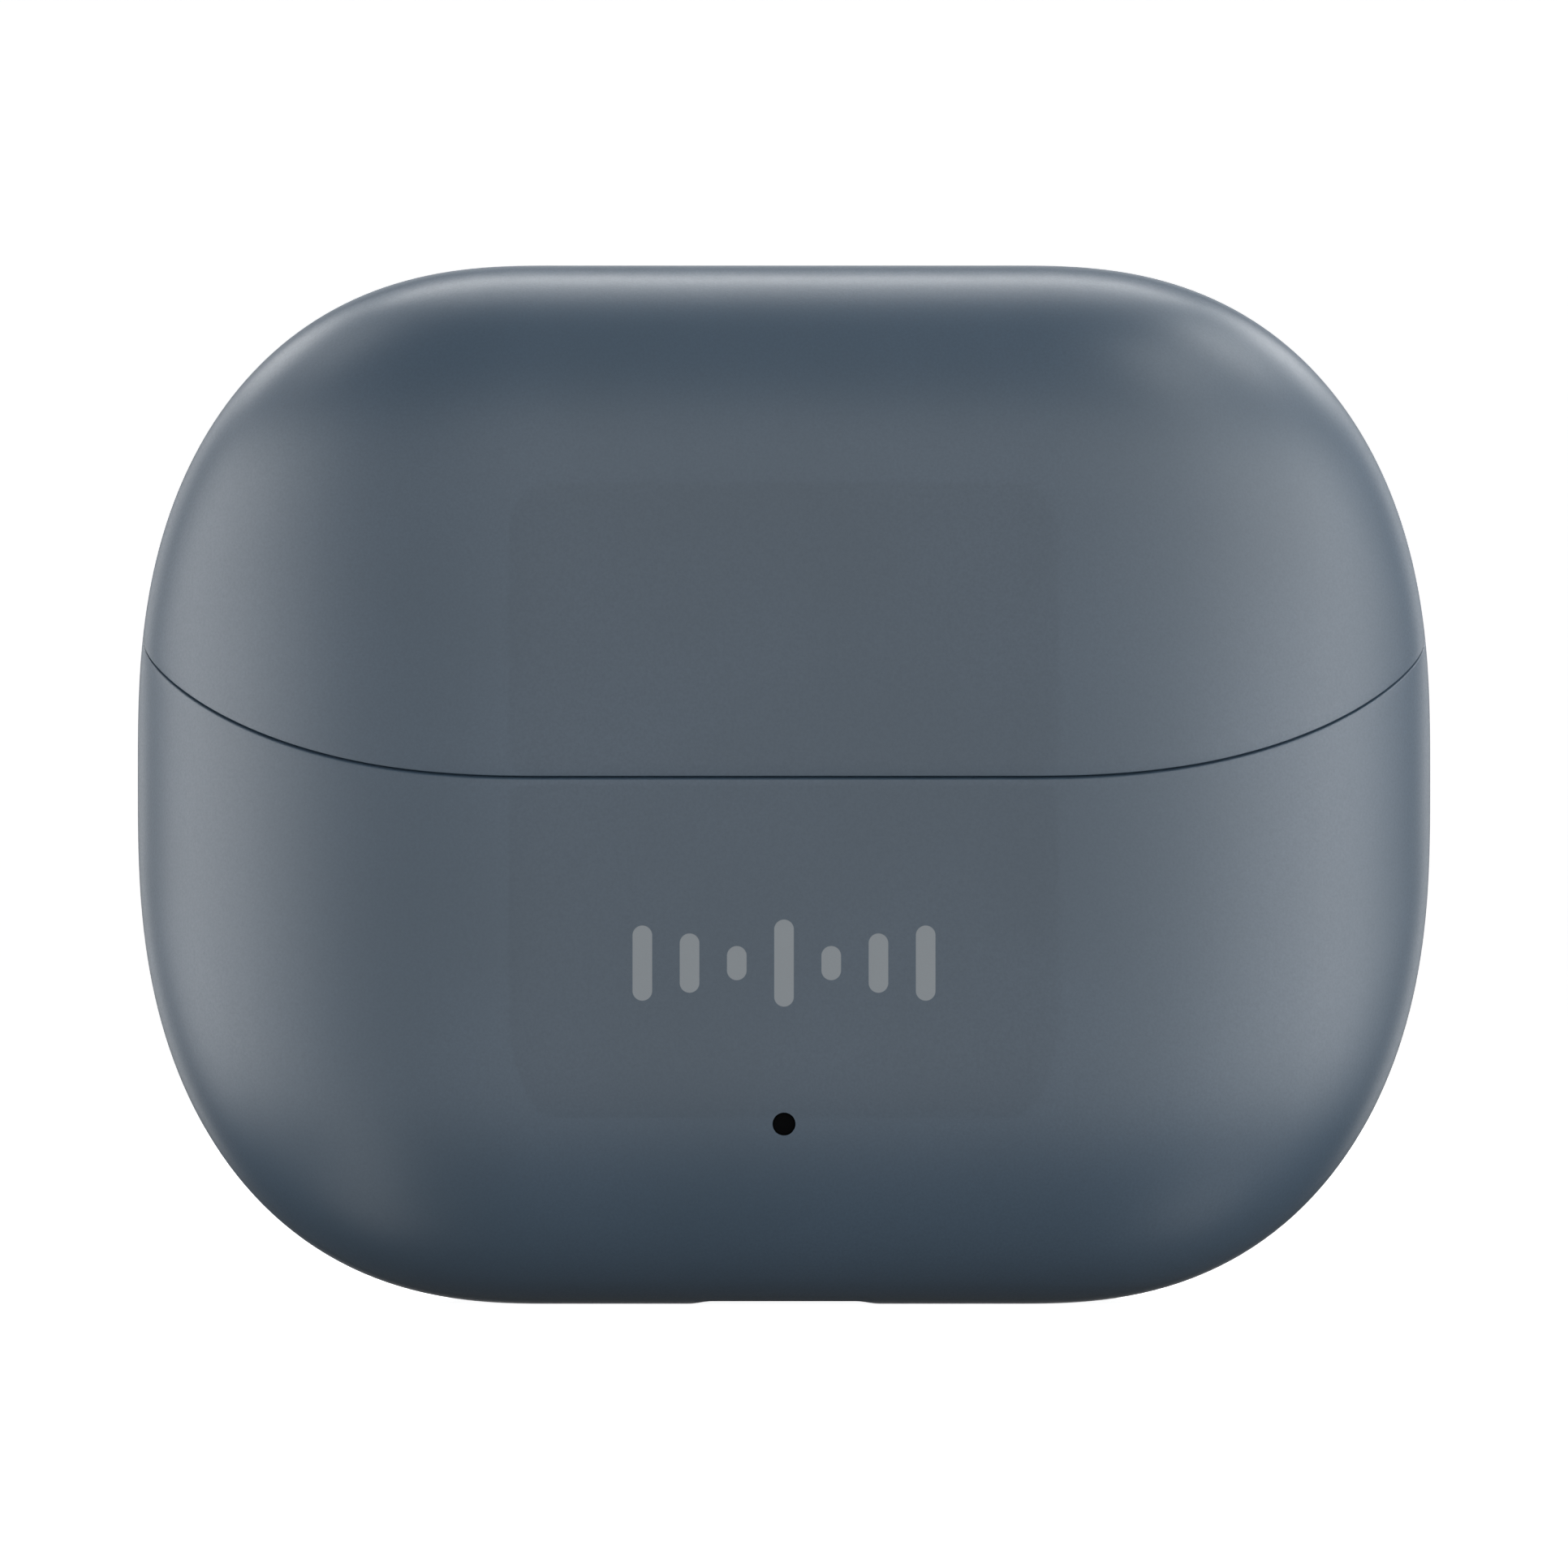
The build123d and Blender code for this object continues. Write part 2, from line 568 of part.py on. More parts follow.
def board_rib():
    """Rib under the deck that the main board is screwed to."""
    half = board_rib_half()
    return block(-half, half, BOARD_BACK_Y, BATTERY_FRONT_Y - BATTERY_GAP,
                 BOARD_TOP_Z - 4 * SCREW_HEAD, HINGE_Z)


def main_board():
    board = block(-BOARD_HALF, BOARD_HALF, BOARD_FRONT_Y, BOARD_BACK_Y, BOARD_BOTTOM_Z, BOARD_TOP_Z)
    board = fillet(board.edges().filter_by(Axis.Y), BOARD_ROUND)
    return board - screw_holes(board_screw_places())


def on_board(x, z, across, high, thick):
    """A part standing on the front of the main board, about a middle point."""
    front = BOARD_FRONT_Y - thick
    return block(x - across / 2, x + across / 2, front, BOARD_FRONT_Y, z - high / 2, z + high / 2)


def board_ics():
    """Controller and charger, each with a bevelled top."""
    chips = [on_board(side * BOARD_HALF / 2, z, across, across, thick) for side, z, across, thick in CHIPS]
    return [chamfer(chip.faces().sort_by(Axis.Y)[0].edges(), CHIP_BEVEL) for chip in chips]


def board_passives():
    """Two rows of chip capacitors and resistors above and below the controller."""
    columns = [-BOARD_HALF / 2 + PASSIVE_PITCH * step for step in range(-4, 5)]
    return [on_board(x, z, *PASSIVE) for z in PASSIVE_ROWS_Z for x in columns]


def power_inductor():
    core = on_board(BOARD_HALF / 2, INDUCTOR_Z, INDUCTOR_SIZE, INDUCTOR_SIZE, INDUCTOR_HIGH)
    return fillet(core.edges().filter_by(Axis.Y), INDUCTOR_SIZE / 5)


def hall_sensor():
    across, high, thick = HALL_SENSOR
    body = on_board(0, BOARD_TOP_Z - high, across, high, thick)
    return chamfer(body.faces().sort_by(Axis.Y)[0].edges(), CHIP_BEVEL)


def status_led():
    """Chip light with a small round lens."""
    across, high, thick = LED
    body = on_board(0, LIGHT_Z, across, high, thick)
    front = BOARD_FRONT_Y - thick
    return body + rod_y(LED_LENS_RADIUS, 0, LIGHT_Z, front - LED_LENS, front)


def light_pipe():
    """Clear rod from the light to just inside the shell's hole, with a flange against the wall."""
    start = BOARD_FRONT_Y - LED[2] - LED_LENS - FIT
    rod = rod_y(LIGHT_RADIUS - LIGHT_FIT, 0, LIGHT_Z, -DEPTH, start) & pebble(LIGHT_RECESS)
    flange = rod_y(LIGHT_FLANGE, 0, LIGHT_Z, -DEPTH, start) & pebble(INSIDE)
    return rod + (flange - pebble(INSIDE + MOULD_WALL))


def board_connectors():
    """Flex sockets on the front of the board and the battery socket on its back."""
    across, high, thick = FLEX_SOCKET
    sockets = [on_board(side * flex_x(), FLEX_TOP_Z + high / 2, across, high, thick) for side in (-1, 1)]
    lead_x = [battery_lead_x(row) for row in (0, 1)]
    reach = LEAD_RADIUS + MOULD_WALL / 2
    back = block(min(lead_x) - reach, max(lead_x) + reach, BOARD_BACK_Y, battery_lead_y() + reach,
                 LEAD_END_Z - reach, LEAD_END_Z + LEAD_GRIP)
    return sockets + [back - [rod_z(LEAD_RADIUS, x, battery_lead_y(), LEAD_END_Z, FAR) for x in lead_x]]


# Charging port

def usb_c_shell():
    sleeve = port_hole(0, PORT_RECESS, PORT_RECESS + PORT_LENGTH)
    return sleeve - port_hole(-PORT_SHEET, 0, FAR)


def usb_c_tongue():
    """Moulded carrier: the tongue and the block that closes the shell behind it."""
    root = tongue_root()
    carrier = port_hole(-PORT_SHEET, root, PORT_RECESS + PORT_LENGTH)
    return carrier + block(-TONGUE_WIDTH / 2, TONGUE_WIDTH / 2, -TONGUE_THICK / 2, TONGUE_THICK / 2,
                           root - TONGUE_LENGTH, root)


def tongue_root():
    return PORT_RECESS + TONGUE_RECESS + TONGUE_LENGTH


def usb_c_contacts():
    """Flat contact strips on both faces of the tongue."""
    first = -CONTACT_PITCH * (CONTACT_COUNT - 1) / 2
    half = CONTACT_PITCH / 4
    top = tongue_root()
    strips = []
    for number in range(CONTACT_COUNT):
        x = first + CONTACT_PITCH * number
        front = block(x - half, x + half, -TONGUE_THICK / 2 - CONTACT_THICK, -TONGUE_THICK / 2,
                      top - TONGUE_LENGTH + TONGUE_RECESS, top)
        strips += [front, Pos(0, TONGUE_THICK + CONTACT_THICK, 0) * front]
    return strips


# Battery

def battery_lead_x(row):
    """Rows of leads, counted outwards from the left of the board rib."""
    return -board_rib_half() - LEAD_RADIUS - MOULD_WALL - row * LEAD_PITCH


def battery_lead_y():
    return BOARD_BACK_Y + LEAD_RADIUS + MOULD_WALL / 2


def battery_cell():
    cell = block(-BATTERY_HALF, BATTERY_HALF, BATTERY_FRONT_Y, BATTERY_BACK_Y, BATTERY_BOTTOM_Z,
                 BATTERY_TOP_Z - PROTECTION_THICK)
    cell = fillet(cell.edges().filter_by(Axis.Z), BATTERY_ROUND)
    return fillet(cell.edges().group_by(Axis.Z)[0] + cell.edges().group_by(Axis.Z)[-1], BATTERY_ROUND / 4)


def battery_protection_board():
    middle = BATTERY_FRONT_Y + BATTERY_THICK / 2
    return block(battery_lead_x(1) - 2 * LEAD_RADIUS, BATTERY_HALF / 3, middle - PROTECTION_WIDE / 2,
                 middle + PROTECTION_WIDE / 2, BATTERY_TOP_Z - PROTECTION_THICK, BATTERY_TOP_Z)


def battery_lead(row):
    """Insulated lead from the protection board, over the cell's edge and down into the board's socket."""
    x = battery_lead_x(row)
    start_z = BATTERY_TOP_Z + LEAD_RADIUS
    start_y = BATTERY_FRONT_Y + BATTERY_THICK / 2
    route = [(x, start_y, start_z), (x, battery_lead_y(), start_z), (x, battery_lead_y(), LEAD_END_Z)]
    path = FilletPolyline(*route, radius=LEAD_BEND)
    return sweep(Plane(origin=path @ 0, z_dir=path % 0) * Circle(LEAD_RADIUS), path=path)


def battery_foam_pad():
    """Pad between the flat back of the cell and the shell."""
    half = BATTERY_HALF - 2 * BATTERY_ROUND
    top = BATTERY_TOP_Z - PROTECTION_THICK - BATTERY_ROUND
    return block(-half, half, BATTERY_BACK_Y, DEPTH / 2 - INSIDE, BOTTOM_CORNER_Z, top)


# Contacts in the wells

def pogo_rows():
    return (-POGO_PITCH / 2, POGO_PITCH / 2)


def contact_board(side):
    inner, outer = CONTACT_INNER_X, WELL_X + CONTACT_BOARD_OUT
    x0, x1 = sorted((side * inner, side * outer))
    board = block(x0, x1, -CONTACT_BOARD_HALF_Y, CONTACT_BOARD_HALF_Y, CONTACT_BOARD_Z, CONTACT_TOP_Z)
    return fillet(board.edges().filter_by(Axis.Z), BOARD_ROUND)


def contact_flex(side):
    """Flat strip on the underside of a contact board, folded up the front of the main board."""
    front = BOARD_FRONT_Y - FLEX_THICK
    inner = flex_x() - FLEX_WIDE / 2
    x0, x1 = sorted((side * inner, side * (CONTACT_INNER_X + FLEX_WIDE)))
    flat = block(x0, x1, -CONTACT_BOARD_HALF_Y + FIT, front, CONTACT_BOARD_Z - FLEX_THICK, CONTACT_BOARD_Z)
    x2, x3 = sorted((side * inner, side * (inner + FLEX_WIDE)))
    return flat + block(x2, x3, front, BOARD_FRONT_Y, CONTACT_BOARD_Z - FLEX_THICK, FLEX_TOP_Z)


def flex_x():
    """Middle of the flex and its socket, in from the side of the main board."""
    return BOARD_HALF - FLEX_SOCKET[0] / 2 - FIT


def pogo_barrels():
    """Turned sleeves on the contact boards, each closed at the bottom and lipped at the top."""
    sleeves = []
    top = WELL_FLOOR_Z
    for x in (-WELL_X, WELL_X):
        for y in pogo_rows():
            sleeve = rod_z(POGO_BARREL, x, y, CONTACT_TOP_Z, top)
            sleeve -= rod_z(POGO_BORE, x, y, pogo_spring_foot(), pogo_lip_z())
            sleeves.append(sleeve - rod_z(POGO_PLUNGER + POGO_FIT, x, y, pogo_spring_foot(), top + PASS))
    return sleeves


def pogo_spring_foot():
    return CONTACT_TOP_Z + POGO_FOOT


def pogo_lip_z():
    return WELL_FLOOR_Z - POGO_LIP


def pogo_plunger(x, y):
    flange_top = pogo_lip_z() - FIT / 2
    tip = WELL_FLOOR_Z + POGO_STAND
    shaft = rod_z(POGO_PLUNGER, x, y, flange_top - POGO_FLANGE_THICK, tip)
    shaft = fillet(shaft.edges().group_by(Axis.Z)[-1], POGO_TIP_ROUND)
    return shaft + rod_z(POGO_FLANGE, x, y, flange_top - POGO_FLANGE_THICK, flange_top)


def pogo_spring(x, y):
    low = pogo_spring_foot() + POGO_SPRING_WIRE
    high = pogo_lip_z() - FIT / 2 - POGO_FLANGE_THICK - POGO_SPRING_WIRE
    radius = POGO_BORE - POGO_SPRING_WIRE - 2 * FIT
    return Pos(x, y, low) * coil(radius, POGO_SPRING_WIRE, POGO_SPRING_TURNS, high - low)


# Pairing button

def pairing_button():
    """Round key that follows the bottom surface, kept in by a rim, with a stub up to the switch."""
    cap = rod_z(BUTTON_RADIUS - BUTTON_FIT, BUTTON_X, 0, -PASS, SWITCH_BOTTOM_Z - BUTTON_TRAVEL * 2)
    rim = rod_z(BUTTON_RADIUS + BUTTON_FLANGE, BUTTON_X, 0, 0, SWITCH_BOTTOM_Z - BUTTON_TRAVEL * 2)
    stub = rod_z(SWITCH_PLUNGER * 2, BUTTON_X, 0, WALL, SWITCH_BOTTOM_Z - BUTTON_TRAVEL - FIT)
    return (cap & pebble(BUTTON_RECESS)) + (rim & pebble(WALL + FIT / 2)) + stub


def pairing_switch():
    body = block(BUTTON_X - SWITCH_HALF_X, BUTTON_X + SWITCH_HALF_X, -SWITCH_HALF_Y, SWITCH_HALF_Y,
                 SWITCH_BOTTOM_Z, CONTACT_BOARD_Z)
    return body - rod_z(SWITCH_PLUNGER + FIT, BUTTON_X, 0, 0, CONTACT_BOARD_Z - SWITCH_ROOF)


def pairing_switch_plunger():
    low = SWITCH_BOTTOM_Z - BUTTON_TRAVEL - FIT
    high = CONTACT_BOARD_Z - SWITCH_ROOF - BUTTON_TRAVEL - FIT / 2
    return rod_z(SWITCH_PLUNGER, BUTTON_X, 0, low, high)


def save(name, *shapes):
    solids = [solid for shape in shapes for solid in shape.solids()]
    piece = solids[0] if len(solids) == 1 else Compound(children=solids)
    export_step(piece, f"parts/{name}.step")


def save_sided_parts():
    for name, side in SIDES.items():
        save(f"contact_board_{name}", contact_board(side))
        save(f"contact_flex_{name}", contact_flex(side))
        save(f"earbud_magnet_{name}", earbud_magnet(side * WELL_X))
        for end, sign in ENDS.items():
            place = (side * WELL_X, sign * POGO_PITCH / 2)
            save(f"pogo_plunger_{name}_{end}", pogo_plunger(*place))
            save(f"pogo_spring_{name}_{end}", pogo_spring(*place))


def main():
    os.makedirs("parts", exist_ok=True)
    save("base_shell", base_shell())
    save("earbud_tray", earbud_tray())
    save("lid_shell", lid_shell())
    save("lid_liner", lid_liner())
    save("hinge_bracket_base", hinge_bracket_base())
    save("hinge_leaf_lid", hinge_leaf_lid())
    save("hinge_pin", hinge_pin())
    save("hinge_spring", hinge_spring())
    save("hinge_screws_base", *hinge_screws(base_leaf_screw_places()))
    save("hinge_screws_lid", *hinge_screws(lid_leaf_screw_places()))
    save("closure_magnets_base", *closure_magnets(-1))
    save("closure_magnets_lid", *closure_magnets(1))
    save("lid_sensor_magnet", lid_sensor_magnet())
    save("main_board", main_board())
    save("board_screws", *[place * screw(BOARD_THICK + SCREW_GRIP) for place in board_screw_places()])
    save("board_ics", *board_ics())
    save("board_passives", *board_passives())
    save("board_connectors", *board_connectors())
    save("power_inductor", power_inductor())
    save("hall_sensor", hall_sensor())
    save("status_led", status_led())
    save("light_pipe", light_pipe())
    save("usb_c_shell", usb_c_shell())
    save("usb_c_tongue", usb_c_tongue())
    save("usb_c_contacts", *usb_c_contacts())
    save("battery_cell", battery_cell())
    save("battery_protection_board", battery_protection_board())
    save("battery_lead_red", battery_lead(0))
    save("battery_lead_black", battery_lead(1))
    save("battery_foam_pad", battery_foam_pad())
    save("pogo_barrels", *pogo_barrels())
    save("pairing_button", pairing_button())
    save("pairing_switch", pairing_switch())
    save("pairing_switch_plunger", pairing_switch_plunger())
    save_sided_parts()


main()
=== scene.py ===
import json
import math

import bpy
import numpy as np
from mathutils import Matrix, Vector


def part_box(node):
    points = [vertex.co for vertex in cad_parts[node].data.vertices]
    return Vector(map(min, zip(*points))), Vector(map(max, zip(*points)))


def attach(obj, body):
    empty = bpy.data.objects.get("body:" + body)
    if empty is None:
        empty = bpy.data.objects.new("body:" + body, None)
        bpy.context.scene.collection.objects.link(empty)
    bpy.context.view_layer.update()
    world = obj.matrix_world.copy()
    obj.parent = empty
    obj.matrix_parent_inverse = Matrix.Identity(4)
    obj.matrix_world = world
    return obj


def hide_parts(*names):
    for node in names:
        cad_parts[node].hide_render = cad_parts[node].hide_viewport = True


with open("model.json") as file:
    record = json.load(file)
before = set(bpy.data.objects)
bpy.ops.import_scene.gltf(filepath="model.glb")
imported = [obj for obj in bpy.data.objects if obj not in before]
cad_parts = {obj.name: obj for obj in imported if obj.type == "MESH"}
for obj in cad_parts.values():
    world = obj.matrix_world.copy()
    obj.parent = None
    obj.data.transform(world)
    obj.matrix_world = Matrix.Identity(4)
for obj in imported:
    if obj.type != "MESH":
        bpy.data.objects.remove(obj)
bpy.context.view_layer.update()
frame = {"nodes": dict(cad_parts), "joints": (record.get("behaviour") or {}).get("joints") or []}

# Wireless earbuds case. The shells' looks are worked out here from the same body formula as their solids, with
# eased edges; every other piece is its solid with a procedural material. Metres throughout.

MM = 0.001

# The body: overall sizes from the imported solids, the outline's own sizes as the mould maker has them
BASE_LOW, BASE_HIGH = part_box("base_shell")
LID_LOW, LID_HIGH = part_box("lid_shell")
HALF_WIDTH = BASE_HIGH.x
HALF_DEPTH = -BASE_LOW.y
HEIGHT = LID_HIGH.z
FLAT_HALF = 10.6 * MM
WAIST_Z = 24.3 * MM
LAND_HALF = 5.0 * MM
BOTTOM_CORNER = 13.0 * MM
TOP_CORNER = 12.0 * MM
REACH = (0.0, 0.31, 0.75, 1.0, 1.0, 1.0)
FALL = (1.0, 1.0, 1.0, 0.59, 0.31, 0.0)
NARROW = (1.0, 1.0, 1.0, 0.3, 0.15, 0.0)
WALL = 1.6 * MM

# The seam between the shells
SEAM_SIDE_Z = 31.5 * MM
SEAM_TILT = math.radians(29.9)
SEAM_HALF_GAP = 0.05 * MM
SEAM_ROUND = 0.05 * MM
SEAM_MIDDLE = np.array((0, 0, SEAM_SIDE_Z))
SEAM_ALONG = np.array((0, math.cos(SEAM_TILT), math.sin(SEAM_TILT)))
SEAM_UP = np.array((0, -math.sin(SEAM_TILT), math.cos(SEAM_TILT)))
ACROSS = np.array((1.0, 0.0, 0.0))

# Cut-outs
HINGE = next(joint for joint in frame["joints"] if joint["name"] == "lid_hinge")
HINGE_AT = np.array(HINGE["pos_m"])
HINGE_HALF = 13.0 * MM
BASE_KNUCKLE_HALF = 6.0 * MM
KNUCKLE_ROOM = 1.4 * MM
EDGE_SWEEP = 0.75 * MM
SWEEP_HALF = 17.6 * MM
GAP = 0.2 * MM
NECK_ROOM = 1.3 * MM
NECK_LENGTH = 3.5 * MM
PORT_HALF_WIDTH = 4.55 * MM
PORT_HALF_THICK = 1.71 * MM
PORT_EASE = 0.3 * MM
GROOVE_DEPTH = 0.15 * MM
GROOVE_ROUND = 1.25 * MM
LIGHT_HOLE = 0.525 * MM
LIGHT_Z = 8.4 * MM
LIGHT_EASE = 0.03 * MM
BUTTON_HOLE = 2.5 * MM
BUTTON_X = 11.93 * MM
BUTTON_EASE = 0.12 * MM
CUT_OUTSIDE = 1 * MM
PORT_DEEP = 3 * MM
LIGHT_MOUTH = 0.2 * MM
LIGHT_DEEP = 3 * MM
BUTTON_DEEP = 4 * MM

# How finely the shells are divided, and the inner points that each shell's rays start from
CURVE_COUNT = 3001
OUTLINE_COUNT = 6001
HALVINGS = 36
ROUND_COUNT = 560
OUTER_ROWS = 100
INNER_ROWS = 22
EDGE_ROWS = 5
CUT_COUNT = 64
EASE_COUNT = 6
GROOVE_COUNT = 13
SHARP_FROM = math.radians(28)
BASE_CENTRE = np.array((0, 0, 20 * MM))
LID_CENTRE = np.array((0, -1 * MM, 38 * MM))

# The printed emblem
BAR_COUNT = 7
BAR_PITCH = 2.17 * MM
BAR_HALF = 0.45 * MM
BAR_TALL = 2.0 * MM
BAR_SHORT = 0.6 * MM
BAR_RHYTHM = 2.4
BAR_MIDDLE_Z = 15.8 * MM
BAR_BLUR = 0.015 * MM

# Chip parts and the flexible circuit
CHIP_LENGTH = 1.0 * MM
CHIP_BARE_HALF = 0.28 * MM
TRACK_PITCH = 0.5 * MM
WAVES_PER_UNIT = 20     # radians that the wave texture turns through in one unit at scale 1

# Camera and light: azimuth and brightness of the upright soft boxes; then azimuth, elevation, width, height and
# brightness of the raised and lowered ones
CAMERA_DISTANCE = 1.2
CAMERA_VIEW = 72.81 * MM
CAMERA_Z = 24.03 * MM
SWEEP_FLAT = 2.2
FLOOR_ROWS = 5
DOME_ROWS = 24
SWEEP_COUNT = 96
LIGHT_DISTANCE = 0.6
AMBIENT = 0.1
UPRIGHT_ELEVATION = 3
UPRIGHT_SIZE = (0.23, 0.42)
UPRIGHT_BOXES = ((-105, 2.71), (-85, 2.5), (-65, 1.59), (-45, 0.68), (-22, 0.65), (0, 0.84), (22, 1.22), (45, 1.76),
                 (65, 2.12), (85, 2.88), (105, 1.16), (145, 1.4), (180, 1.2), (-145, 1.4))
RAISED_BOXES = ((45, 42, 0.25, 0.25, 2.22), (90, 48, 0.25, 0.25, 4.02), (-90, 48, 0.25, 0.25, 1.41),
                (180, 60, 0.5, 0.09, 10.0), (180, 80, 0.4, 0.2, 1.76), (135, 35, 0.25, 0.2, 4.66),
                (-135, 35, 0.25, 0.2, 4.02), (0, 22, 0.3, 0.15, 0.42), (60, -42, 0.3, 0.25, 0.63),
                (-60, -42, 0.3, 0.25, 0.74), (-45, -25, 0.2, 0.2, 0.93))


# ---------------------------------------------------------------- surfaces

def quintic(values):
    """A quintic Bezier curve's value at even steps of its parameter."""
    t = np.linspace(0, 1, CURVE_COUNT)[:, None]
    power = np.arange(6)
    binomial = np.array((1, 5, 10, 10, 5, 1))
    return (binomial * t**power * (1 - t) ** (5 - power)) @ np.array(values)


REACH_CURVE = quintic(REACH)
FALL_CURVE = quintic(FALL)
NARROW_CURVE = quintic(NARROW)


def side_scale(x, inset, curve):
    """How much of the side view's height or depth is left at a distance x from the middle."""
    out = (np.abs(x) - FLAT_HALF) / (HALF_WIDTH - inset - FLAT_HALF)
    return np.interp(np.clip(out, 0, 1), REACH_CURVE, curve)


def half_depth(z, inset):
    """Half depth of the side view at height z: flat lands, quintic corners, straight front."""
    depth = LAND_HALF + (HALF_DEPTH - inset - LAND_HALF) * REACH_CURVE
    lower = BOTTOM_CORNER + (inset - BOTTOM_CORNER) * FALL_CURVE
    shoulder = HEIGHT - TOP_CORNER
    upper = shoulder + (HEIGHT - inset - shoulder) * FALL_CURVE
    return np.interp(z, np.r_[lower, upper[::-1]], np.r_[depth, depth[::-1]], left=-1, right=-1)


def inside(points, inset):
    """Whether points lie in the body made smaller all round by inset."""
    rise = np.maximum(side_scale(points[..., 0], inset, FALL_CURVE), 1e-9)
    depth = half_depth(WAIST_Z + (points[..., 2] - WAIST_Z) / rise, inset)
    depth = depth * side_scale(points[..., 0], inset, NARROW_CURVE)
    return (np.abs(points[..., 1]) < depth) & (np.abs(points[..., 0]) < HALF_WIDTH - inset)


def cast(centre, ways, inset):
    """Where rays from an inner point leave the body: each ray's length is found by halving the step."""
    length = np.zeros(ways.shape[:-1])
    step = HALF_WIDTH
    for _ in range(HALVINGS):
        longer = length + step
        length = np.where(inside(centre + longer[..., None] * ways, inset), longer, length)
        step /= 2
    return centre + length[..., None] * ways


def seam_ring(turns, inset, above):
    """The closed outline that a plane parallel to the seam cuts from the body."""
    ways = np.cos(turns)[:, None] * ACROSS + np.sin(turns)[:, None] * SEAM_ALONG
    return cast(SEAM_MIDDLE + above * SEAM_UP, ways, inset)


def even_turns(count):
    """Turning angles that space points evenly along the seam outline."""
    fine = np.linspace(0, 2 * np.pi, OUTLINE_COUNT)
    steps = np.linalg.norm(np.diff(seam_ring(fine, 0, 0), axis=0), axis=1)
    run = np.r_[0, np.cumsum(steps)]
    return np.interp(np.linspace(0, run[-1], count, endpoint=False), run, fine)


def dome_rows(rim, pole, centre, inset, rows):
    """Rows of surface points from a rim ring to a pole: each direction from the centre is turned evenly."""
    start = (rim - centre) / np.linalg.norm(rim - centre, axis=1)[:, None]
    end = (pole - centre) / np.linalg.norm(pole - centre)
    angle = np.arccos(start @ end)[:, None]
    share = np.linspace(0, 1, rows + 1)[1:, None, None]
    ways = (np.sin((1 - share) * angle) * start + np.sin(share * angle) * end) / np.sin(angle)
    return cast(centre, ways, inset)


def shell_rings(side):
    """All rings of one shell, from its outer pole over the rounded seam edge to its inner pole.

    side is -1 for the base, whose pole is the middle of the bottom land, and 1 for the lid.
    """
    turns = even_turns(ROUND_COUNT)
    centre = BASE_CENTRE if side < 0 else LID_CENTRE
    level = side * (SEAM_HALF_GAP + SEAM_ROUND)
    rim = seam_ring(turns, 0, level)
    outer_pole = np.array((0, 0, 0 if side < 0 else HEIGHT))
    outer = dome_rows(rim, outer_pole, centre, 0, OUTER_ROWS)[::-1]
    swing = np.linspace(0, np.pi / 2, EDGE_ROWS + 1)[1:]
    edge = [seam_ring(turns, SEAM_ROUND * (1 - math.cos(a)), level - side * SEAM_ROUND * math.sin(a)) for a in swing]
    lip = seam_ring(turns, WALL, side * SEAM_HALF_GAP)
    inner_pole = np.array((0, 0, WALL if side < 0 else HEIGHT - WALL))
    inner = dome_rows(lip, inner_pole, centre, WALL, INNER_ROWS)
    return np.concatenate([outer, rim[None], edge, lip[None], inner])


def closed_skin(name, rings):
    """A closed mesh through rings of points, with a fan of triangles at the first and last ring's middle."""
    count = rings.shape[1]
    middle = rings[1:-1].reshape(-1, 3)
    points = np.concatenate([rings[:1].mean(axis=1), middle, rings[-1:].mean(axis=1)])
    here = np.arange(count)
    after = (here + 1) % count
    first = 1 + count * np.arange(len(rings) - 3)[:, None]
    quads = np.stack([first + here, first + after, first + count + after, first + count + here], axis=-1)
    last_ring = 1 + count * (len(rings) - 3)
    start_fan = np.stack([np.zeros_like(here), 1 + after, 1 + here], axis=-1)
    end_fan = np.stack([np.full_like(here, len(points) - 1), last_ring + here, last_ring + after], axis=-1)
    faces = quads.reshape(-1, 4).tolist() + start_fan.tolist() + end_fan.tolist()
    return new_piece(name, points, faces)


def new_piece(name, points, faces):
    """An object at the origin whose faces point outwards: they are turned round if they enclose less than nothing."""
    mesh = bpy.data.meshes.new(name)
    mesh.from_pydata(points, [], faces)
    mesh.calc_loop_triangles()
    corners = np.zeros(len(mesh.loop_triangles) * 3, np.int32)
    mesh.loop_triangles.foreach_get("vertices", corners)
    a, b, c = np.asarray(points)[corners].reshape(-1, 3, 3).transpose(1, 0, 2)
    if np.einsum("ij,ij->i", a, np.cross(b, c)).sum() < 0:
        mesh.flip_normals()
    mesh.shade_smooth()
    piece = bpy.data.objects.new(name, mesh)
    bpy.context.scene.collection.objects.link(piece)
    return piece


def turned(name, profile, middle, axis):
    """A turned solid: profile holds (distance along the axis, radius) pairs, from one end to the other."""
    axis = np.asarray(axis, float)
    side = np.cross(axis, ACROSS) if abs(axis[0]) < 0.5 else np.cross(axis, (0, 0, 1.0))
    other = np.cross(axis, side)
    turns = np.linspace(0, 2 * np.pi, CUT_COUNT, endpoint=False)
    circle = np.cos(turns)[:, None] * side + np.sin(turns)[:, None] * other
    along, radius = np.array(profile, float).T
    rings = middle + along[:, None, None] * axis + radius[:, None, None] * circle
    caps = [middle + along[end] * axis + 0 * circle for end in (0, -1)]
    return closed_skin(name, np.concatenate([caps[:1], rings, caps[1:]]))


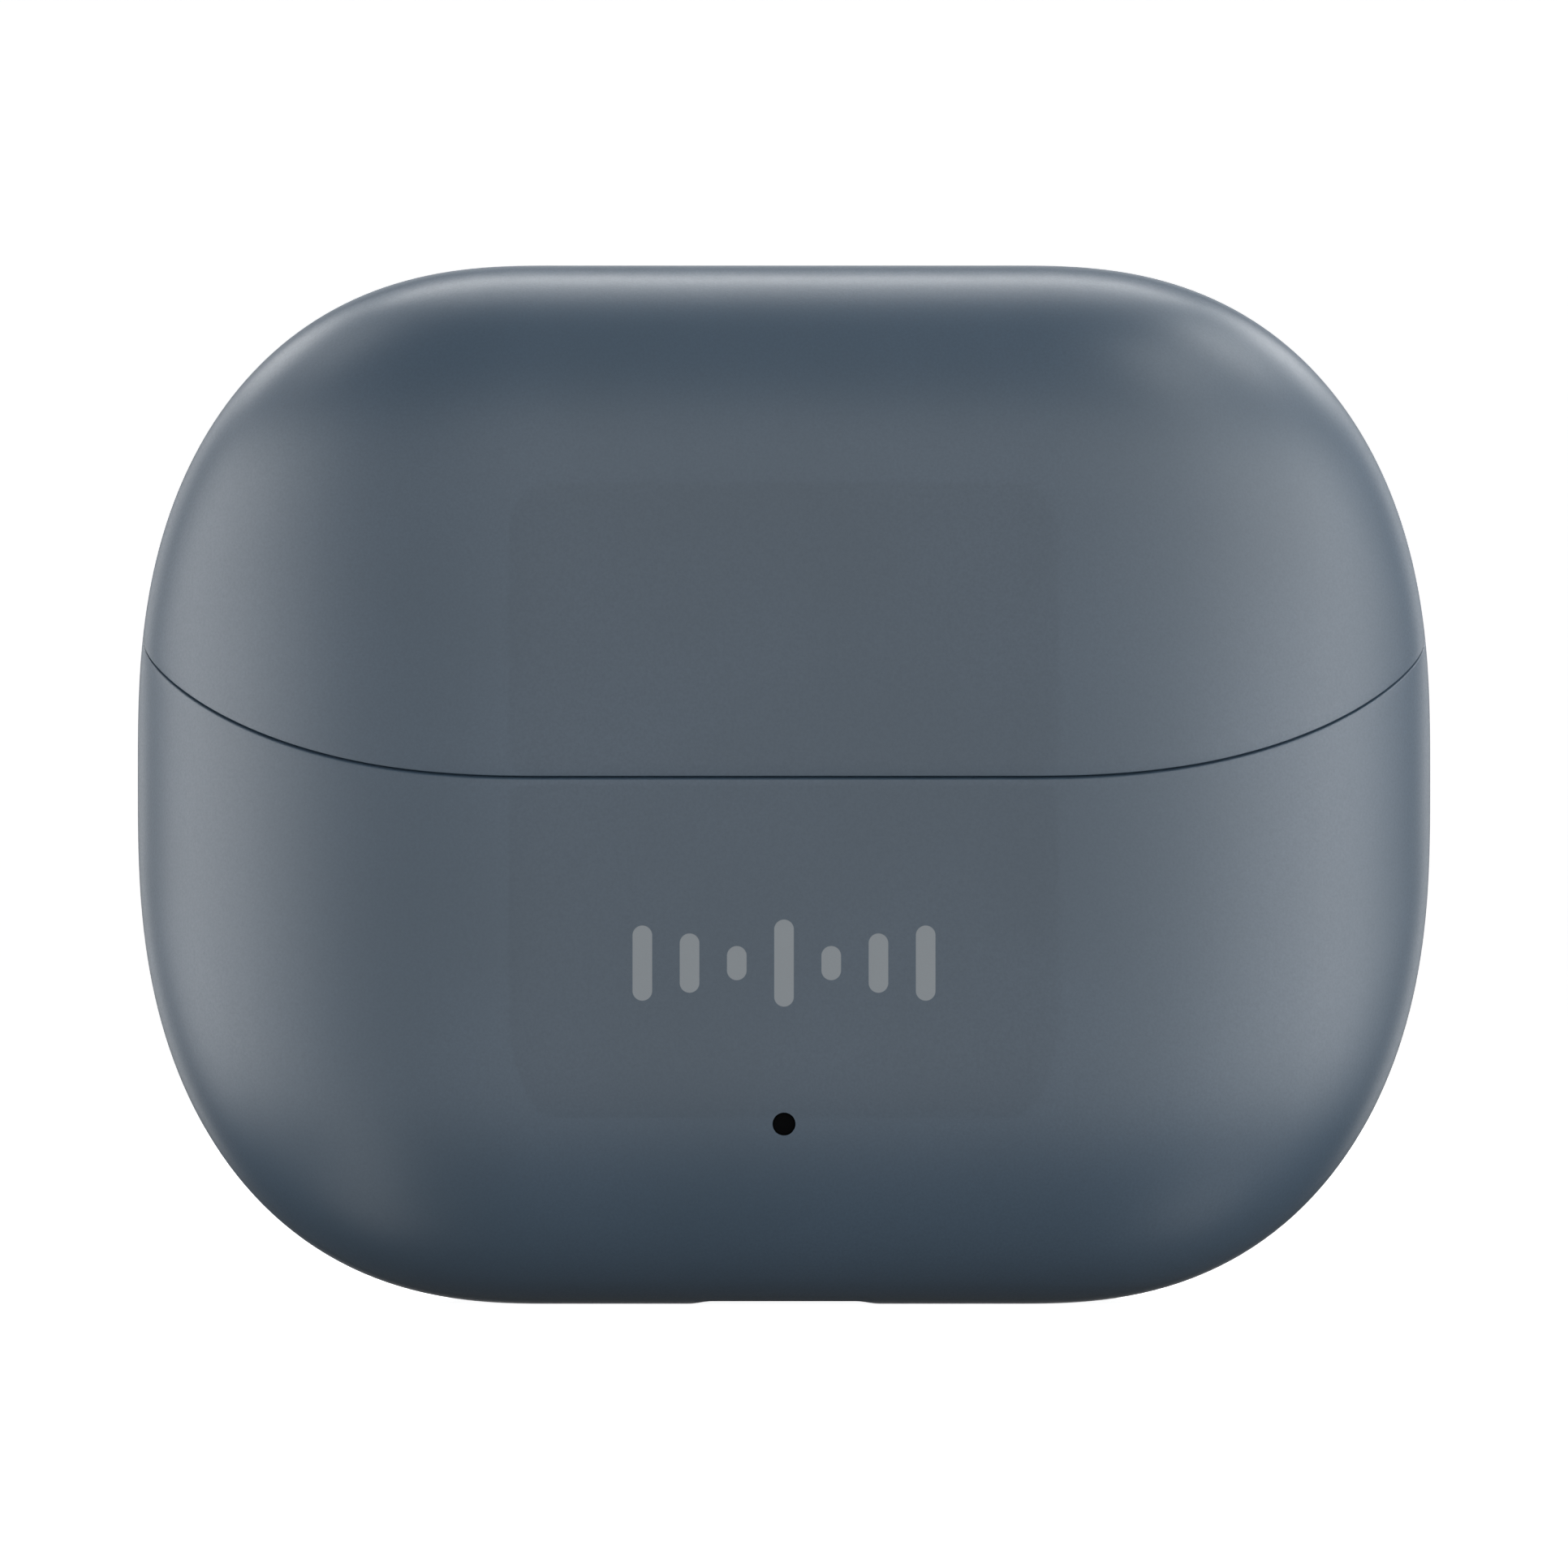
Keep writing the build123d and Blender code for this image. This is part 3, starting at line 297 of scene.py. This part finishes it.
def slot_bar(name, half_width, half_thick, profile):
    """An upright bar with fully round narrow sides; profile holds (height, growth all round) pairs."""
    turns = np.linspace(0, 2 * np.pi, CUT_COUNT, endpoint=False) + np.pi / CUT_COUNT
    rings = []
    for height, grow in profile:
        round_part = (half_thick + grow) * np.stack([np.cos(turns), np.sin(turns), 0 * turns], axis=-1)
        shift = np.sign(np.cos(turns))[:, None] * (half_width - half_thick) * ACROSS
        rings.append(round_part + shift + np.array((0, 0, height)))
    caps = [np.repeat(rings[end].mean(axis=0, keepdims=True), CUT_COUNT, axis=0) for end in (0, -1)]
    return closed_skin(name, np.stack([caps[0], *rings, caps[1]]))


def box_of(name, low, high, origin, axes):
    """A box between two corners, given along three axes from an origin."""
    corners = np.array([(x, y, z) for x in (low[0], high[0]) for y in (low[1], high[1]) for z in (low[2], high[2])])
    faces = [(0, 1, 3, 2), (4, 6, 7, 5), (0, 4, 5, 1), (2, 3, 7, 6), (0, 2, 6, 4), (1, 5, 7, 3)]
    return new_piece(name, origin + corners @ np.array(axes), faces)


def groove_bar(name):
    """The shallow dip across the bottom: a bar whose roof rises by a smooth step at each end."""
    share = np.linspace(0, 1, GROOVE_COUNT)
    step = share**2 * (3 - 2 * share) * GROOVE_DEPTH
    x = np.r_[-PORT_HALF_WIDTH + share * GROOVE_ROUND, PORT_HALF_WIDTH - share[::-1] * GROOVE_ROUND]
    roof = np.stack([x, np.r_[step, step[::-1]]], axis=-1)
    outline = np.concatenate([roof, [(PORT_HALF_WIDTH, -CUT_OUTSIDE), (-PORT_HALF_WIDTH, -CUT_OUTSIDE)]])
    count = len(outline)
    ends = [np.insert(outline, 1, y, axis=1) for y in (-HALF_DEPTH, HALF_DEPTH)]
    here = np.arange(count)
    after = (here + 1) % count
    walls = np.stack([here, after, after + count, here + count], axis=-1).tolist()
    return new_piece(name, np.concatenate(ends), walls + [here[::-1].tolist(), (here + count).tolist()])


def cut(piece, cutters):
    """Cut closed shapes out of a piece, then smooth it except across real edges."""
    for cutter in cutters:
        modifier = piece.modifiers.new(cutter.name, "BOOLEAN")
        modifier.operation = "DIFFERENCE"
        modifier.solver = "MANIFOLD"
        modifier.object = cutter
    graph = bpy.context.evaluated_depsgraph_get()
    mesh = bpy.data.meshes.new_from_object(piece.evaluated_get(graph))
    piece.modifiers.clear()
    piece.data = mesh
    for cutter in cutters:
        bpy.data.objects.remove(cutter)
    mesh.shade_smooth()
    mesh.set_sharp_from_angle(angle=SHARP_FROM)
    mesh.name = piece.name


def hinge_cutters(side):
    """Room for the knuckles, the passing back edges and the leaf's neck in one shell."""
    knuckles = HINGE_HALF + GAP
    rods = [(knuckles, KNUCKLE_ROOM), (SWEEP_HALF, EDGE_SWEEP)]
    cutters = [turned(f"room_{number}", [(-half, radius), (half, radius)], HINGE_AT, ACROSS)
               for number, (half, radius) in enumerate(rods)]
    half = BASE_KNUCKLE_HALF + GAP if side < 0 else knuckles
    low, high = sorted((0, side * NECK_ROOM))
    neck = box_of("neck_room", (-half, -NECK_LENGTH, low), (half, 0, high), HINGE_AT, (ACROSS, SEAM_ALONG, SEAM_UP))
    return cutters + [neck]


def base_cutters():
    """Charging port with an eased mouth, the dip across it, the light's hole and the button's hole."""
    swing = np.linspace(0, np.pi / 2, EASE_COUNT)
    port_mouth = [(GROOVE_DEPTH + PORT_EASE * (1 - math.cos(a)), PORT_EASE * (1 - math.sin(a))) for a in swing]
    port = slot_bar("port_cut", PORT_HALF_WIDTH, PORT_HALF_THICK,
                    [(-CUT_OUTSIDE, PORT_EASE), *port_mouth, (PORT_DEEP, 0)])
    front = float(cast(np.array((0, 0, LIGHT_Z)), np.array([(0, -1.0, 0)]), 0)[0, 1])
    light = turned("light_cut", [(front - CUT_OUTSIDE, LIGHT_HOLE + LIGHT_EASE), (front + LIGHT_MOUTH, LIGHT_HOLE),
                                 (front + LIGHT_DEEP, LIGHT_HOLE)],
                   np.array((0, 0, LIGHT_Z)), (0, 1, 0))
    mouth = BUTTON_HOLE + BUTTON_EASE
    button = turned("button_cut", [(-CUT_OUTSIDE, mouth + CUT_OUTSIDE), (0, mouth), (BUTTON_EASE, BUTTON_HOLE),
                                   (BUTTON_DEEP, BUTTON_HOLE)],
                    np.array((BUTTON_X, 0, 0)), (0, 0, 1))
    return [groove_bar("groove_cut"), port, light, button]


# ---------------------------------------------------------------- materials

def linear(code):
    """An sRGB hex colour as linear red, green, blue and alpha."""
    value = np.array([int(code[place:place + 2], 16) for place in (0, 2, 4)]) / 255
    return (*np.where(value <= 0.04045, value / 12.92, ((value + 0.055) / 1.055) ** 2.4), 1.0)


def add(material, kind, inputs=None, **settings):
    """Add a node; inputs go by name or number and hold a value, a socket, or a node for its first output."""
    node = material.node_tree.nodes.new("ShaderNode" + kind)
    for key, value in settings.items():
        setattr(node, key, value)
    for key, value in (inputs or {}).items():
        if isinstance(value, bpy.types.Node):
            value = value.outputs[0]
        if isinstance(value, bpy.types.NodeSocket):
            material.node_tree.links.new(value, node.inputs[key])
        else:
            node.inputs[key].default_value = value
    return node


def start(name):
    """An empty material and its object coordinates."""
    material = bpy.data.materials.new(name)
    material.use_nodes = True
    material.node_tree.nodes.clear()
    return material, add(material, "TexCoord").outputs["Object"]


def finish(material, inputs):
    """Close a material with its shader."""
    add(material, "OutputMaterial", {"Surface": add(material, "BsdfPrincipled", inputs)})
    return material


def printed_bars(material, place):
    """Mask of the printed emblem: seven upright bars with round ends, on the front only.

    Across, the place is folded to one bar's own middle. A bar's half height goes by the cosine of its number, and
    its outline is the distance from its middle line less the bar's half width.
    """
    x, y, z = add(material, "SeparateXYZ", {0: place}).outputs
    number = add(material, "Math", {0: add(material, "Math", {0: x, 1: BAR_PITCH}, operation="DIVIDE")},
                 operation="ROUND")
    middle = add(material, "Math", {0: number, 1: BAR_PITCH}, operation="MULTIPLY")
    across = add(material, "Math", {0: x, 1: middle}, operation="SUBTRACT")
    turn = add(material, "Math", {0: number, 1: BAR_RHYTHM}, operation="MULTIPLY")
    wave = add(material, "Math", {0: turn}, operation="COSINE")
    reach = add(material, "MapRange", {"Value": wave, "From Min": -1, "From Max": 1,
                                       "To Min": BAR_SHORT - BAR_HALF, "To Max": BAR_TALL - BAR_HALF})
    rise = add(material, "Math", {0: z, 1: BAR_MIDDLE_Z}, operation="SUBTRACT")
    up = add(material, "Math", {0: add(material, "Math", {0: rise}, operation="ABSOLUTE"), 1: reach},
             operation="SUBTRACT")
    beyond = add(material, "Math", {0: up, 1: 0.0}, operation="MAXIMUM")
    away = add(material, "VectorMath", {0: add(material, "CombineXYZ", {0: across, 1: beyond})}, operation="LENGTH")
    bar = add(material, "MapRange", {"Value": away.outputs["Value"], "From Min": BAR_HALF - BAR_BLUR,
                                     "From Max": BAR_HALF + BAR_BLUR, "To Min": 1.0, "To Max": 0.0})
    near = add(material, "Math", {0: add(material, "Math", {0: number}, operation="ABSOLUTE"), 1: BAR_COUNT / 2},
               operation="LESS_THAN")
    front = add(material, "Math", {0: y, 1: 0.0}, operation="LESS_THAN")
    shown = add(material, "Math", {0: near, 1: front}, operation="MULTIPLY")
    return add(material, "Math", {0: bar, 1: shown}, operation="MULTIPLY")


def spark_textured_polycarbonate():
    """Polycarbonate moulded in a spark-eroded tool: fine even pits spread the highlights into a satin sheen.

    The pits are 0.11 mm across, the melt's flow shades the colour a little over 14 mm, and the emblem is
    pad-printed ink, smoother and lighter than the plastic. The colour is also painted darker with the pit noise, as
    painted shade in the pits.
    """
    material, place = start("spark_textured_polycarbonate")
    pits = add(material, "TexNoise", {"Vector": place, "Scale": 1 / (0.11 * MM), "Detail": 3.0})
    flow = add(material, "TexNoise", {"Vector": place, "Scale": 1 / (14 * MM), "Detail": 2.0})
    tone = add(material, "MapRange", {"Value": flow, "From Min": 0.3, "From Max": 0.7}, interpolation_type="SMOOTHSTEP")
    # painted shade: up to half way towards a darker blue-grey, driven by the same noise that raises the pit bump
    depth = add(material, "MapRange", {"Value": pits, "From Min": 0.3, "From Max": 0.7, "To Max": 0.5})
    body = add(material, "Mix", {0: tone, 6: linear("425566"), 7: linear("475a6c")}, data_type="RGBA").outputs[2]
    pit_shaded_colour = add(material, "Mix", {0: depth, 6: body, 7: linear("3a4c5c")}, data_type="RGBA").outputs[2]
    ink = printed_bars(material, place)
    colour = add(material, "Mix", {0: ink, 6: pit_shaded_colour, 7: linear("8b9399")}, data_type="RGBA").outputs[2]
    satin = add(material, "MapRange", {"Value": pits, "From Min": 0.3, "From Max": 0.7, "To Min": 0.36, "To Max": 0.44})
    gloss = add(material, "Mix", {0: ink, 2: satin, 3: 0.34})
    relief = add(material, "Bump", {"Height": pits, "Strength": 0.3, "Distance": 0.012 * MM})
    return finish(material, {"Base Color": colour, "Roughness": gloss, "Normal": relief, "IOR": 1.58,
                             "Specular IOR Level": 0.75})


def satin_abs():
    """Moulded ABS for the inside: darker and a little smoother, with faint flow streaks down from the gate."""
    material, place = start("satin_moulded_abs")
    grain = add(material, "TexNoise", {"Vector": place, "Scale": 1 / (0.16 * MM), "Detail": 2.0})
    stretched = add(material, "Mapping", {"Vector": place, "Scale": (1.0, 1.0, 0.25)})
    streaks = add(material, "TexNoise", {"Vector": stretched, "Scale": 1 / (5 * MM), "Detail": 3.0})
    colour = add(material, "Mix", {0: streaks, 6: linear("2c3843"), 7: linear("36444f")}, data_type="RGBA").outputs[2]
    satin = add(material, "MapRange", {"Value": grain, "From Min": 0.3, "From Max": 0.7, "To Min": 0.3, "To Max": 0.4})
    relief = add(material, "Bump", {"Height": grain, "Strength": 0.15, "Distance": 0.01 * MM})
    return finish(material, {"Base Color": colour, "Roughness": satin, "Normal": relief, "IOR": 1.54})


def worked_metal(name, dark, light, line, stretch, roughness, relief=0.25):
    """A metal whose tool lines run one way: noise drawn out along one axis shades, roughens and scores it.

    line is the spacing of the lines in metres, and stretch how much longer they are along each axis.
    """
    material, place = start(name)
    drawn = add(material, "Mapping", {"Vector": place, "Scale": stretch})
    lines = add(material, "TexNoise", {"Vector": drawn, "Scale": 1 / line, "Detail": 4.0})
    handled = add(material, "TexNoise", {"Vector": place, "Scale": 1 / (2.5 * MM), "Detail": 2.0})
    tone = add(material, "Math", {0: lines, 1: handled}, operation="MULTIPLY")
    shade = add(material, "MapRange", {"Value": tone, "From Min": 0.12, "From Max": 0.4})
    colour = add(material, "Mix", {0: shade, 6: linear(dark), 7: linear(light)}, data_type="RGBA").outputs[2]
    gloss = add(material, "MapRange", {"Value": lines, "From Min": 0.3, "From Max": 0.7, "To Min": roughness - 0.07,
                                       "To Max": roughness + 0.07})
    score = add(material, "Bump", {"Height": lines, "Strength": relief, "Distance": 0.004 * MM})
    return finish(material, {"Base Color": colour, "Metallic": 1.0, "Roughness": gloss, "Normal": score})


def solder_mask_over_glass_epoxy():
    """Circuit board: dark green mask, glossy, with 0.15 mm copper tracks that show lighter and stand up through it."""
    material, place = start("solder_mask_over_glass_epoxy")
    upright = add(material, "Mapping", {"Vector": place, "Rotation": (math.pi / 2, 0, 0)})
    track = add(material, "TexBrick", {"Vector": upright, "Scale": 1.0, "Mortar Size": 0.08 * MM,
                                       "Mortar Smooth": 0.3, "Brick Width": 2.4 * MM,
                                       "Row Height": 0.6 * MM}).outputs["Fac"]
    weave = add(material, "TexNoise", {"Vector": place, "Scale": 1 / (0.3 * MM), "Detail": 2.0})
    mask = add(material, "Mix", {0: weave, 6: linear("0d2a20"), 7: linear("133527")}, data_type="RGBA").outputs[2]
    colour = add(material, "Mix", {0: track, 6: mask, 7: linear("2f6a48")}, data_type="RGBA").outputs[2]
    raised = add(material, "Bump", {"Height": track, "Strength": 0.6, "Distance": 0.03 * MM})
    gloss = add(material, "MapRange", {"Value": weave, "To Min": 0.18, "To Max": 0.3})
    return finish(material, {"Base Color": colour, "Roughness": gloss, "Normal": raised, "IOR": 1.5})


def ceramic_with_tinned_ends():
    """Chip capacitors: fired tan ceramic with bright tinned caps, 0.22 mm deep, on the two ends of each part."""
    material, place = start("ceramic_with_tinned_ends")
    z = add(material, "SeparateXYZ", {0: place}).outputs[2]
    low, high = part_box("board_passives")
    half_gap = (high.z - low.z - CHIP_LENGTH) / 2
    middle = add(material, "Math", {0: z, 1: (low.z + high.z) / 2}, operation="SUBTRACT")
    from_row = add(material, "Math", {0: add(material, "Math", {0: middle}, operation="ABSOLUTE"), 1: half_gap},
                   operation="SUBTRACT")
    from_middle = add(material, "Math", {0: from_row}, operation="ABSOLUTE")
    cap = add(material, "Math", {0: from_middle, 1: CHIP_BARE_HALF}, operation="GREATER_THAN")
    fired = add(material, "TexNoise", {"Vector": place, "Scale": 1 / (0.08 * MM), "Detail": 3.0})
    tan = add(material, "Mix", {0: fired, 6: linear("6f5b45"), 7: linear("8a7358")}, data_type="RGBA").outputs[2]
    colour = add(material, "Mix", {0: cap, 6: tan, 7: linear("c9cac8")}, data_type="RGBA").outputs[2]
    gloss = add(material, "MapRange", {"Value": fired, "To Min": 0.3, "To Max": 0.5})
    relief = add(material, "Bump", {"Height": fired, "Strength": 0.2, "Distance": 0.005 * MM})
    return finish(material, {"Base Color": colour, "Metallic": cap, "Roughness": gloss, "Normal": relief})


def even_grain(name, dark, light, grain, roughness, relief, **shader):
    """A moulded, pressed or fired part with one even grain: grain is its size in metres, relief its height."""
    material, place = start(name)
    speck = add(material, "TexNoise", {"Vector": place, "Scale": 1 / grain, "Detail": 3.0})
    tone = add(material, "MapRange", {"Value": speck, "From Min": 0.3, "From Max": 0.7})
    colour = add(material, "Mix", {0: tone, 6: linear(dark), 7: linear(light)}, data_type="RGBA").outputs[2]
    gloss = add(material, "MapRange", {"Value": speck, "From Min": 0.3, "From Max": 0.7, "To Min": roughness - 0.05,
                                       "To Max": roughness + 0.05})
    bumps = add(material, "Bump", {"Height": speck, "Strength": 0.5, "Distance": relief})
    sockets = {key.replace("_", " "): value for key, value in shader.items()}
    return finish(material, {"Base Color": colour, "Roughness": gloss, "Normal": bumps, **sockets})


def polyimide_film():
    """Flexible circuit: amber film over copper tracks 0.5 mm apart, which show through as darker stripes."""
    material, place = start("polyimide_film_circuit")
    stripes = add(material, "TexWave", {"Vector": place, "Scale": math.tau / (WAVES_PER_UNIT * TRACK_PITCH)},
                  bands_direction="X")
    track = add(material, "MapRange", {"Value": stripes, "From Min": 0.4, "From Max": 0.6})
    colour = add(material, "Mix", {0: track, 6: linear("c27a22"), 7: linear("8a4a14")}, data_type="RGBA").outputs[2]
    wrinkle = add(material, "TexNoise", {"Vector": place, "Scale": 1 / (1.2 * MM), "Detail": 2.0})
    relief = add(material, "Bump", {"Height": wrinkle, "Strength": 0.3, "Distance": 0.02 * MM})
    gloss = add(material, "MapRange", {"Value": wrinkle, "To Min": 0.15, "To Max": 0.3})
    return finish(material, {"Base Color": colour, "Roughness": gloss, "Normal": relief, "IOR": 1.7})


def aluminium_laminate():
    """Battery pouch: satin aluminium under clear nylon, slightly crinkled, so its sheen breaks into soft facets."""
    material, place = start("aluminium_laminate_pouch")
    crinkle = add(material, "TexVoronoi", {"Vector": place, "Scale": 1 / (2.2 * MM)}, feature="SMOOTH_F1")
    film = add(material, "TexNoise", {"Vector": place, "Scale": 1 / (0.2 * MM), "Detail": 2.0})
    colour = add(material, "Mix", {0: film, 6: linear("a9adb1"), 7: linear("bcc0c3")}, data_type="RGBA").outputs[2]
    facets = add(material, "Bump", {"Height": crinkle, "Strength": 0.35, "Distance": 0.12 * MM})
    gloss = add(material, "MapRange", {"Value": film, "To Min": 0.3, "To Max": 0.42})
    return finish(material, {"Base Color": colour, "Metallic": 0.85, "Roughness": gloss, "Normal": facets,
                             "Coat Weight": 0.3, "Coat Roughness": 0.2})


def finishes():
    """A material for each of the record's slots."""
    shell = spark_textured_polycarbonate()
    return {
        "shell_plastic": shell,
        "button_plastic": shell,
        "inner_plastic": satin_abs(),
        # rolled sheet: fine lines across, satin
        "hinge_steel": worked_metal("rolled_stainless_sheet", "8d9093", "b9bcbe", 0.06 * MM, (0.05, 1, 1), 0.32),
        # ground all round: close rings that brighten the pin
        "pin_steel": worked_metal("ground_stainless_pin", "a3a5a7", "c9cacb", 0.05 * MM, (1, 0.1, 0.1), 0.2),
        # drawn wire: smooth, faintly scored
        "spring_steel": worked_metal("drawn_spring_wire", "8a8c8e", "b0b2b4", 0.04 * MM, (0.3, 1, 1), 0.25),
        # passivated zinc: greyer and cloudier than steel
        "screw_steel": worked_metal("zinc_plated_steel", "7f8488", "a9b0b6", 0.08 * MM, (1, 1, 1), 0.35),
        # barrel plated nickel: bright and warm
        "magnet_nickel": worked_metal("nickel_plate", "b3b0aa", "d4d1ca", 0.12 * MM, (1, 1, 1), 0.14, 0.1),
        # deep drawn sleeve: lines along the pull
        "port_steel": worked_metal("deep_drawn_stainless", "8b8e91", "b4b7ba", 0.05 * MM, (1, 1, 0.05), 0.26),
        # hard gold over nickel: rich and smooth
        "contact_gold": worked_metal("hard_gold_plate", "c99a3e", "efc873", 0.06 * MM, (1, 1, 0.4), 0.16, 0.1),
        "circuit_board": solder_mask_over_glass_epoxy(),
        "passive_ceramic": ceramic_with_tinned_ends(),
        # filled epoxy: near black with a fine matte bite
        "chip_epoxy": even_grain("moulded_chip_epoxy", "17181a", "232427", 0.05 * MM, 0.55, 0.006 * MM, IOR=1.55),
        # pressed powder: dark, dull and slightly rough
        "inductor_ferrite": even_grain("pressed_ferrite", "2a2a2c", "3d3d40", 0.09 * MM, 0.7, 0.015 * MM, IOR=1.6),
        # liquid crystal polymer: black with a low swirl of fibres
        "connector_plastic": even_grain("liquid_crystal_polymer", "141415", "202022", 0.2 * MM, 0.42, 0.005 * MM,
                                        IOR=1.62),
        # nylon: waxy off-white that lets a little light in
        "switch_plunger": even_grain("moulded_nylon", "c9c7bd", "dad8cf", 0.1 * MM, 0.4, 0.005 * MM, IOR=1.53,
                                     Subsurface_Weight=0.2, Subsurface_Scale=0.5 * MM),
        # phosphor under clear epoxy: pale yellow, glossy
        "led_lens": even_grain("epoxy_over_phosphor", "d9cf8e", "ebe3ae", 0.04 * MM, 0.15, 0.002 * MM, IOR=1.53),
        # smoked acrylic: reads as a black dot in its hole while the light is off
        "light_guide": even_grain("smoked_acrylic", "020203", "040506", 0.1 * MM, 0.5, 0.002 * MM, IOR=1.49,
                                  Specular_IOR_Level=0.06),
        "flex_polyimide": polyimide_film(),
        "battery_foil": aluminium_laminate(),
        # silicone insulation: soft and dusty looking
        "lead_red": even_grain("red_silicone_insulation", "8e1515", "a81d1b", 0.12 * MM, 0.5, 0.006 * MM, IOR=1.43),
        "lead_black": even_grain("black_silicone_insulation", "121213", "1c1c1e", 0.12 * MM, 0.5, 0.006 * MM,
                                 IOR=1.43),
        # closed-cell foam: open skin with quarter-millimetre cells
        "foam": even_grain("closed_cell_foam", "19191a", "2d2d2f", 0.25 * MM, 0.9, 0.08 * MM, IOR=1.5),
    }


# ---------------------------------------------------------------- the stage

def soft_box(azimuth, elevation, width, height, brightness):
    """A soft box on a sphere round the case, facing its middle; azimuth 0 is the front and 90 the right."""
    light = bpy.data.lights.new("soft_box", "AREA")
    light.shape = "RECTANGLE"
    light.size, light.size_y = width, height
    light.energy = brightness * math.pi * width * height
    round_way, up = math.radians(azimuth), math.radians(elevation)
    level = LIGHT_DISTANCE * math.cos(up)
    middle = Vector((0, 0, HEIGHT / 2))
    lamp = bpy.data.objects.new("soft_box", light)
    lamp.location = middle + Vector((level * math.sin(round_way), -level * math.cos(round_way),
                                        LIGHT_DISTANCE * math.sin(up)))
    lamp.rotation_euler = (middle - lamp.location).to_track_quat("-Z", "Y").to_euler()
    lamp.visible_camera = False
    bpy.context.scene.collection.objects.link(lamp)


def studio():
    """Even light all round and the soft boxes."""
    world = bpy.data.worlds.new("studio")
    world.use_nodes = True
    world.node_tree.nodes["Background"].inputs["Color"].default_value = linear("ffffff")
    world.node_tree.nodes["Background"].inputs["Strength"].default_value = AMBIENT
    bpy.context.scene.world = world
    for azimuth, brightness in UPRIGHT_BOXES:
        soft_box(azimuth, UPRIGHT_ELEVATION, *UPRIGHT_SIZE, brightness)
    for box in RAISED_BOXES:
        soft_box(*box)


def white_sweep():
    """Floor and background in one: a disc that turns up into a dome, carried round the upright axis.

    Only the camera sees it, so it throws no light up under the case.
    """
    rise = np.linspace(0, np.pi / 2, DOME_ROWS)
    out = np.r_[np.linspace(0, SWEEP_FLAT, FLOOR_ROWS, endpoint=False), SWEEP_FLAT * np.cos(rise)]
    up = np.r_[np.zeros(FLOOR_ROWS), SWEEP_FLAT * np.sin(rise)]
    turns = np.linspace(0, 2 * np.pi, SWEEP_COUNT, endpoint=False)
    ring = np.stack([np.cos(turns), np.sin(turns), 0 * turns], axis=-1)
    rings = out[:, None, None] * ring + up[:, None, None] * np.array((0, 0, 1.0))
    sweep = closed_skin("white_sweep", rings)
    sweep.data.flip_normals()
    # matte paint: plain white, with the faintest roller stipple
    paint = even_grain("matte_white_paint", "d4d4d4", "dadada", 1.5 * MM, 0.9, 0.02 * MM,
                       Emission_Color=linear("ffffff"), Emission_Strength=0.93)
    # seen from behind, as from under the floor, the paint is left out, so that the case's underside shows
    output = next(node for node in paint.node_tree.nodes if node.type == "OUTPUT_MATERIAL")
    behind = add(paint, "NewGeometry").outputs["Backfacing"]
    front = output.inputs["Surface"].links[0].from_socket
    one_sided = add(paint, "MixShader", {0: behind, 1: front, 2: add(paint, "BsdfTransparent")})
    paint.node_tree.links.new(one_sided.outputs[0], output.inputs["Surface"])
    sweep.data.materials.append(paint)
    sweep.visible_diffuse = sweep.visible_glossy = sweep.visible_transmission = False


def camera():
    """Level, straight on from the front at half the case's height, through a long lens."""
    lens = bpy.data.cameras.new("camera")
    lens.lens = lens.sensor_width * CAMERA_DISTANCE / CAMERA_VIEW
    lens.clip_start, lens.clip_end = 0.01, 10
    view = bpy.data.objects.new("camera", lens)
    view.location = (0, -CAMERA_DISTANCE, CAMERA_Z)
    view.rotation_euler = (math.pi / 2, 0, 0)
    bpy.context.scene.collection.objects.link(view)
    bpy.context.scene.camera = view


# ---------------------------------------------------------------- the case

def shells(plastic):
    """Both shells' mouldings in place of their solids."""
    for name, side, body in (("base_shell", -1, "base"), ("lid_shell", 1, "lid")):
        shell = closed_skin(name + "_moulding", shell_rings(side))
        cut(shell, hinge_cutters(side) + (base_cutters() if side < 0 else []))
        shell.data.materials.clear()
        shell.data.materials.append(plastic)
        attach(shell, body)
        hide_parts(name)


def main():
    bpy.context.scene.view_settings.view_transform = "Standard"
    camera()
    studio()
    white_sweep()
    finish_of = finishes()
    for node in frame["nodes"].values():
        for number, packed in enumerate(node.data.materials):
            node.data.materials[number] = finish_of[packed.name.split(".")[0]]
    shells(finish_of["shell_plastic"])


main()
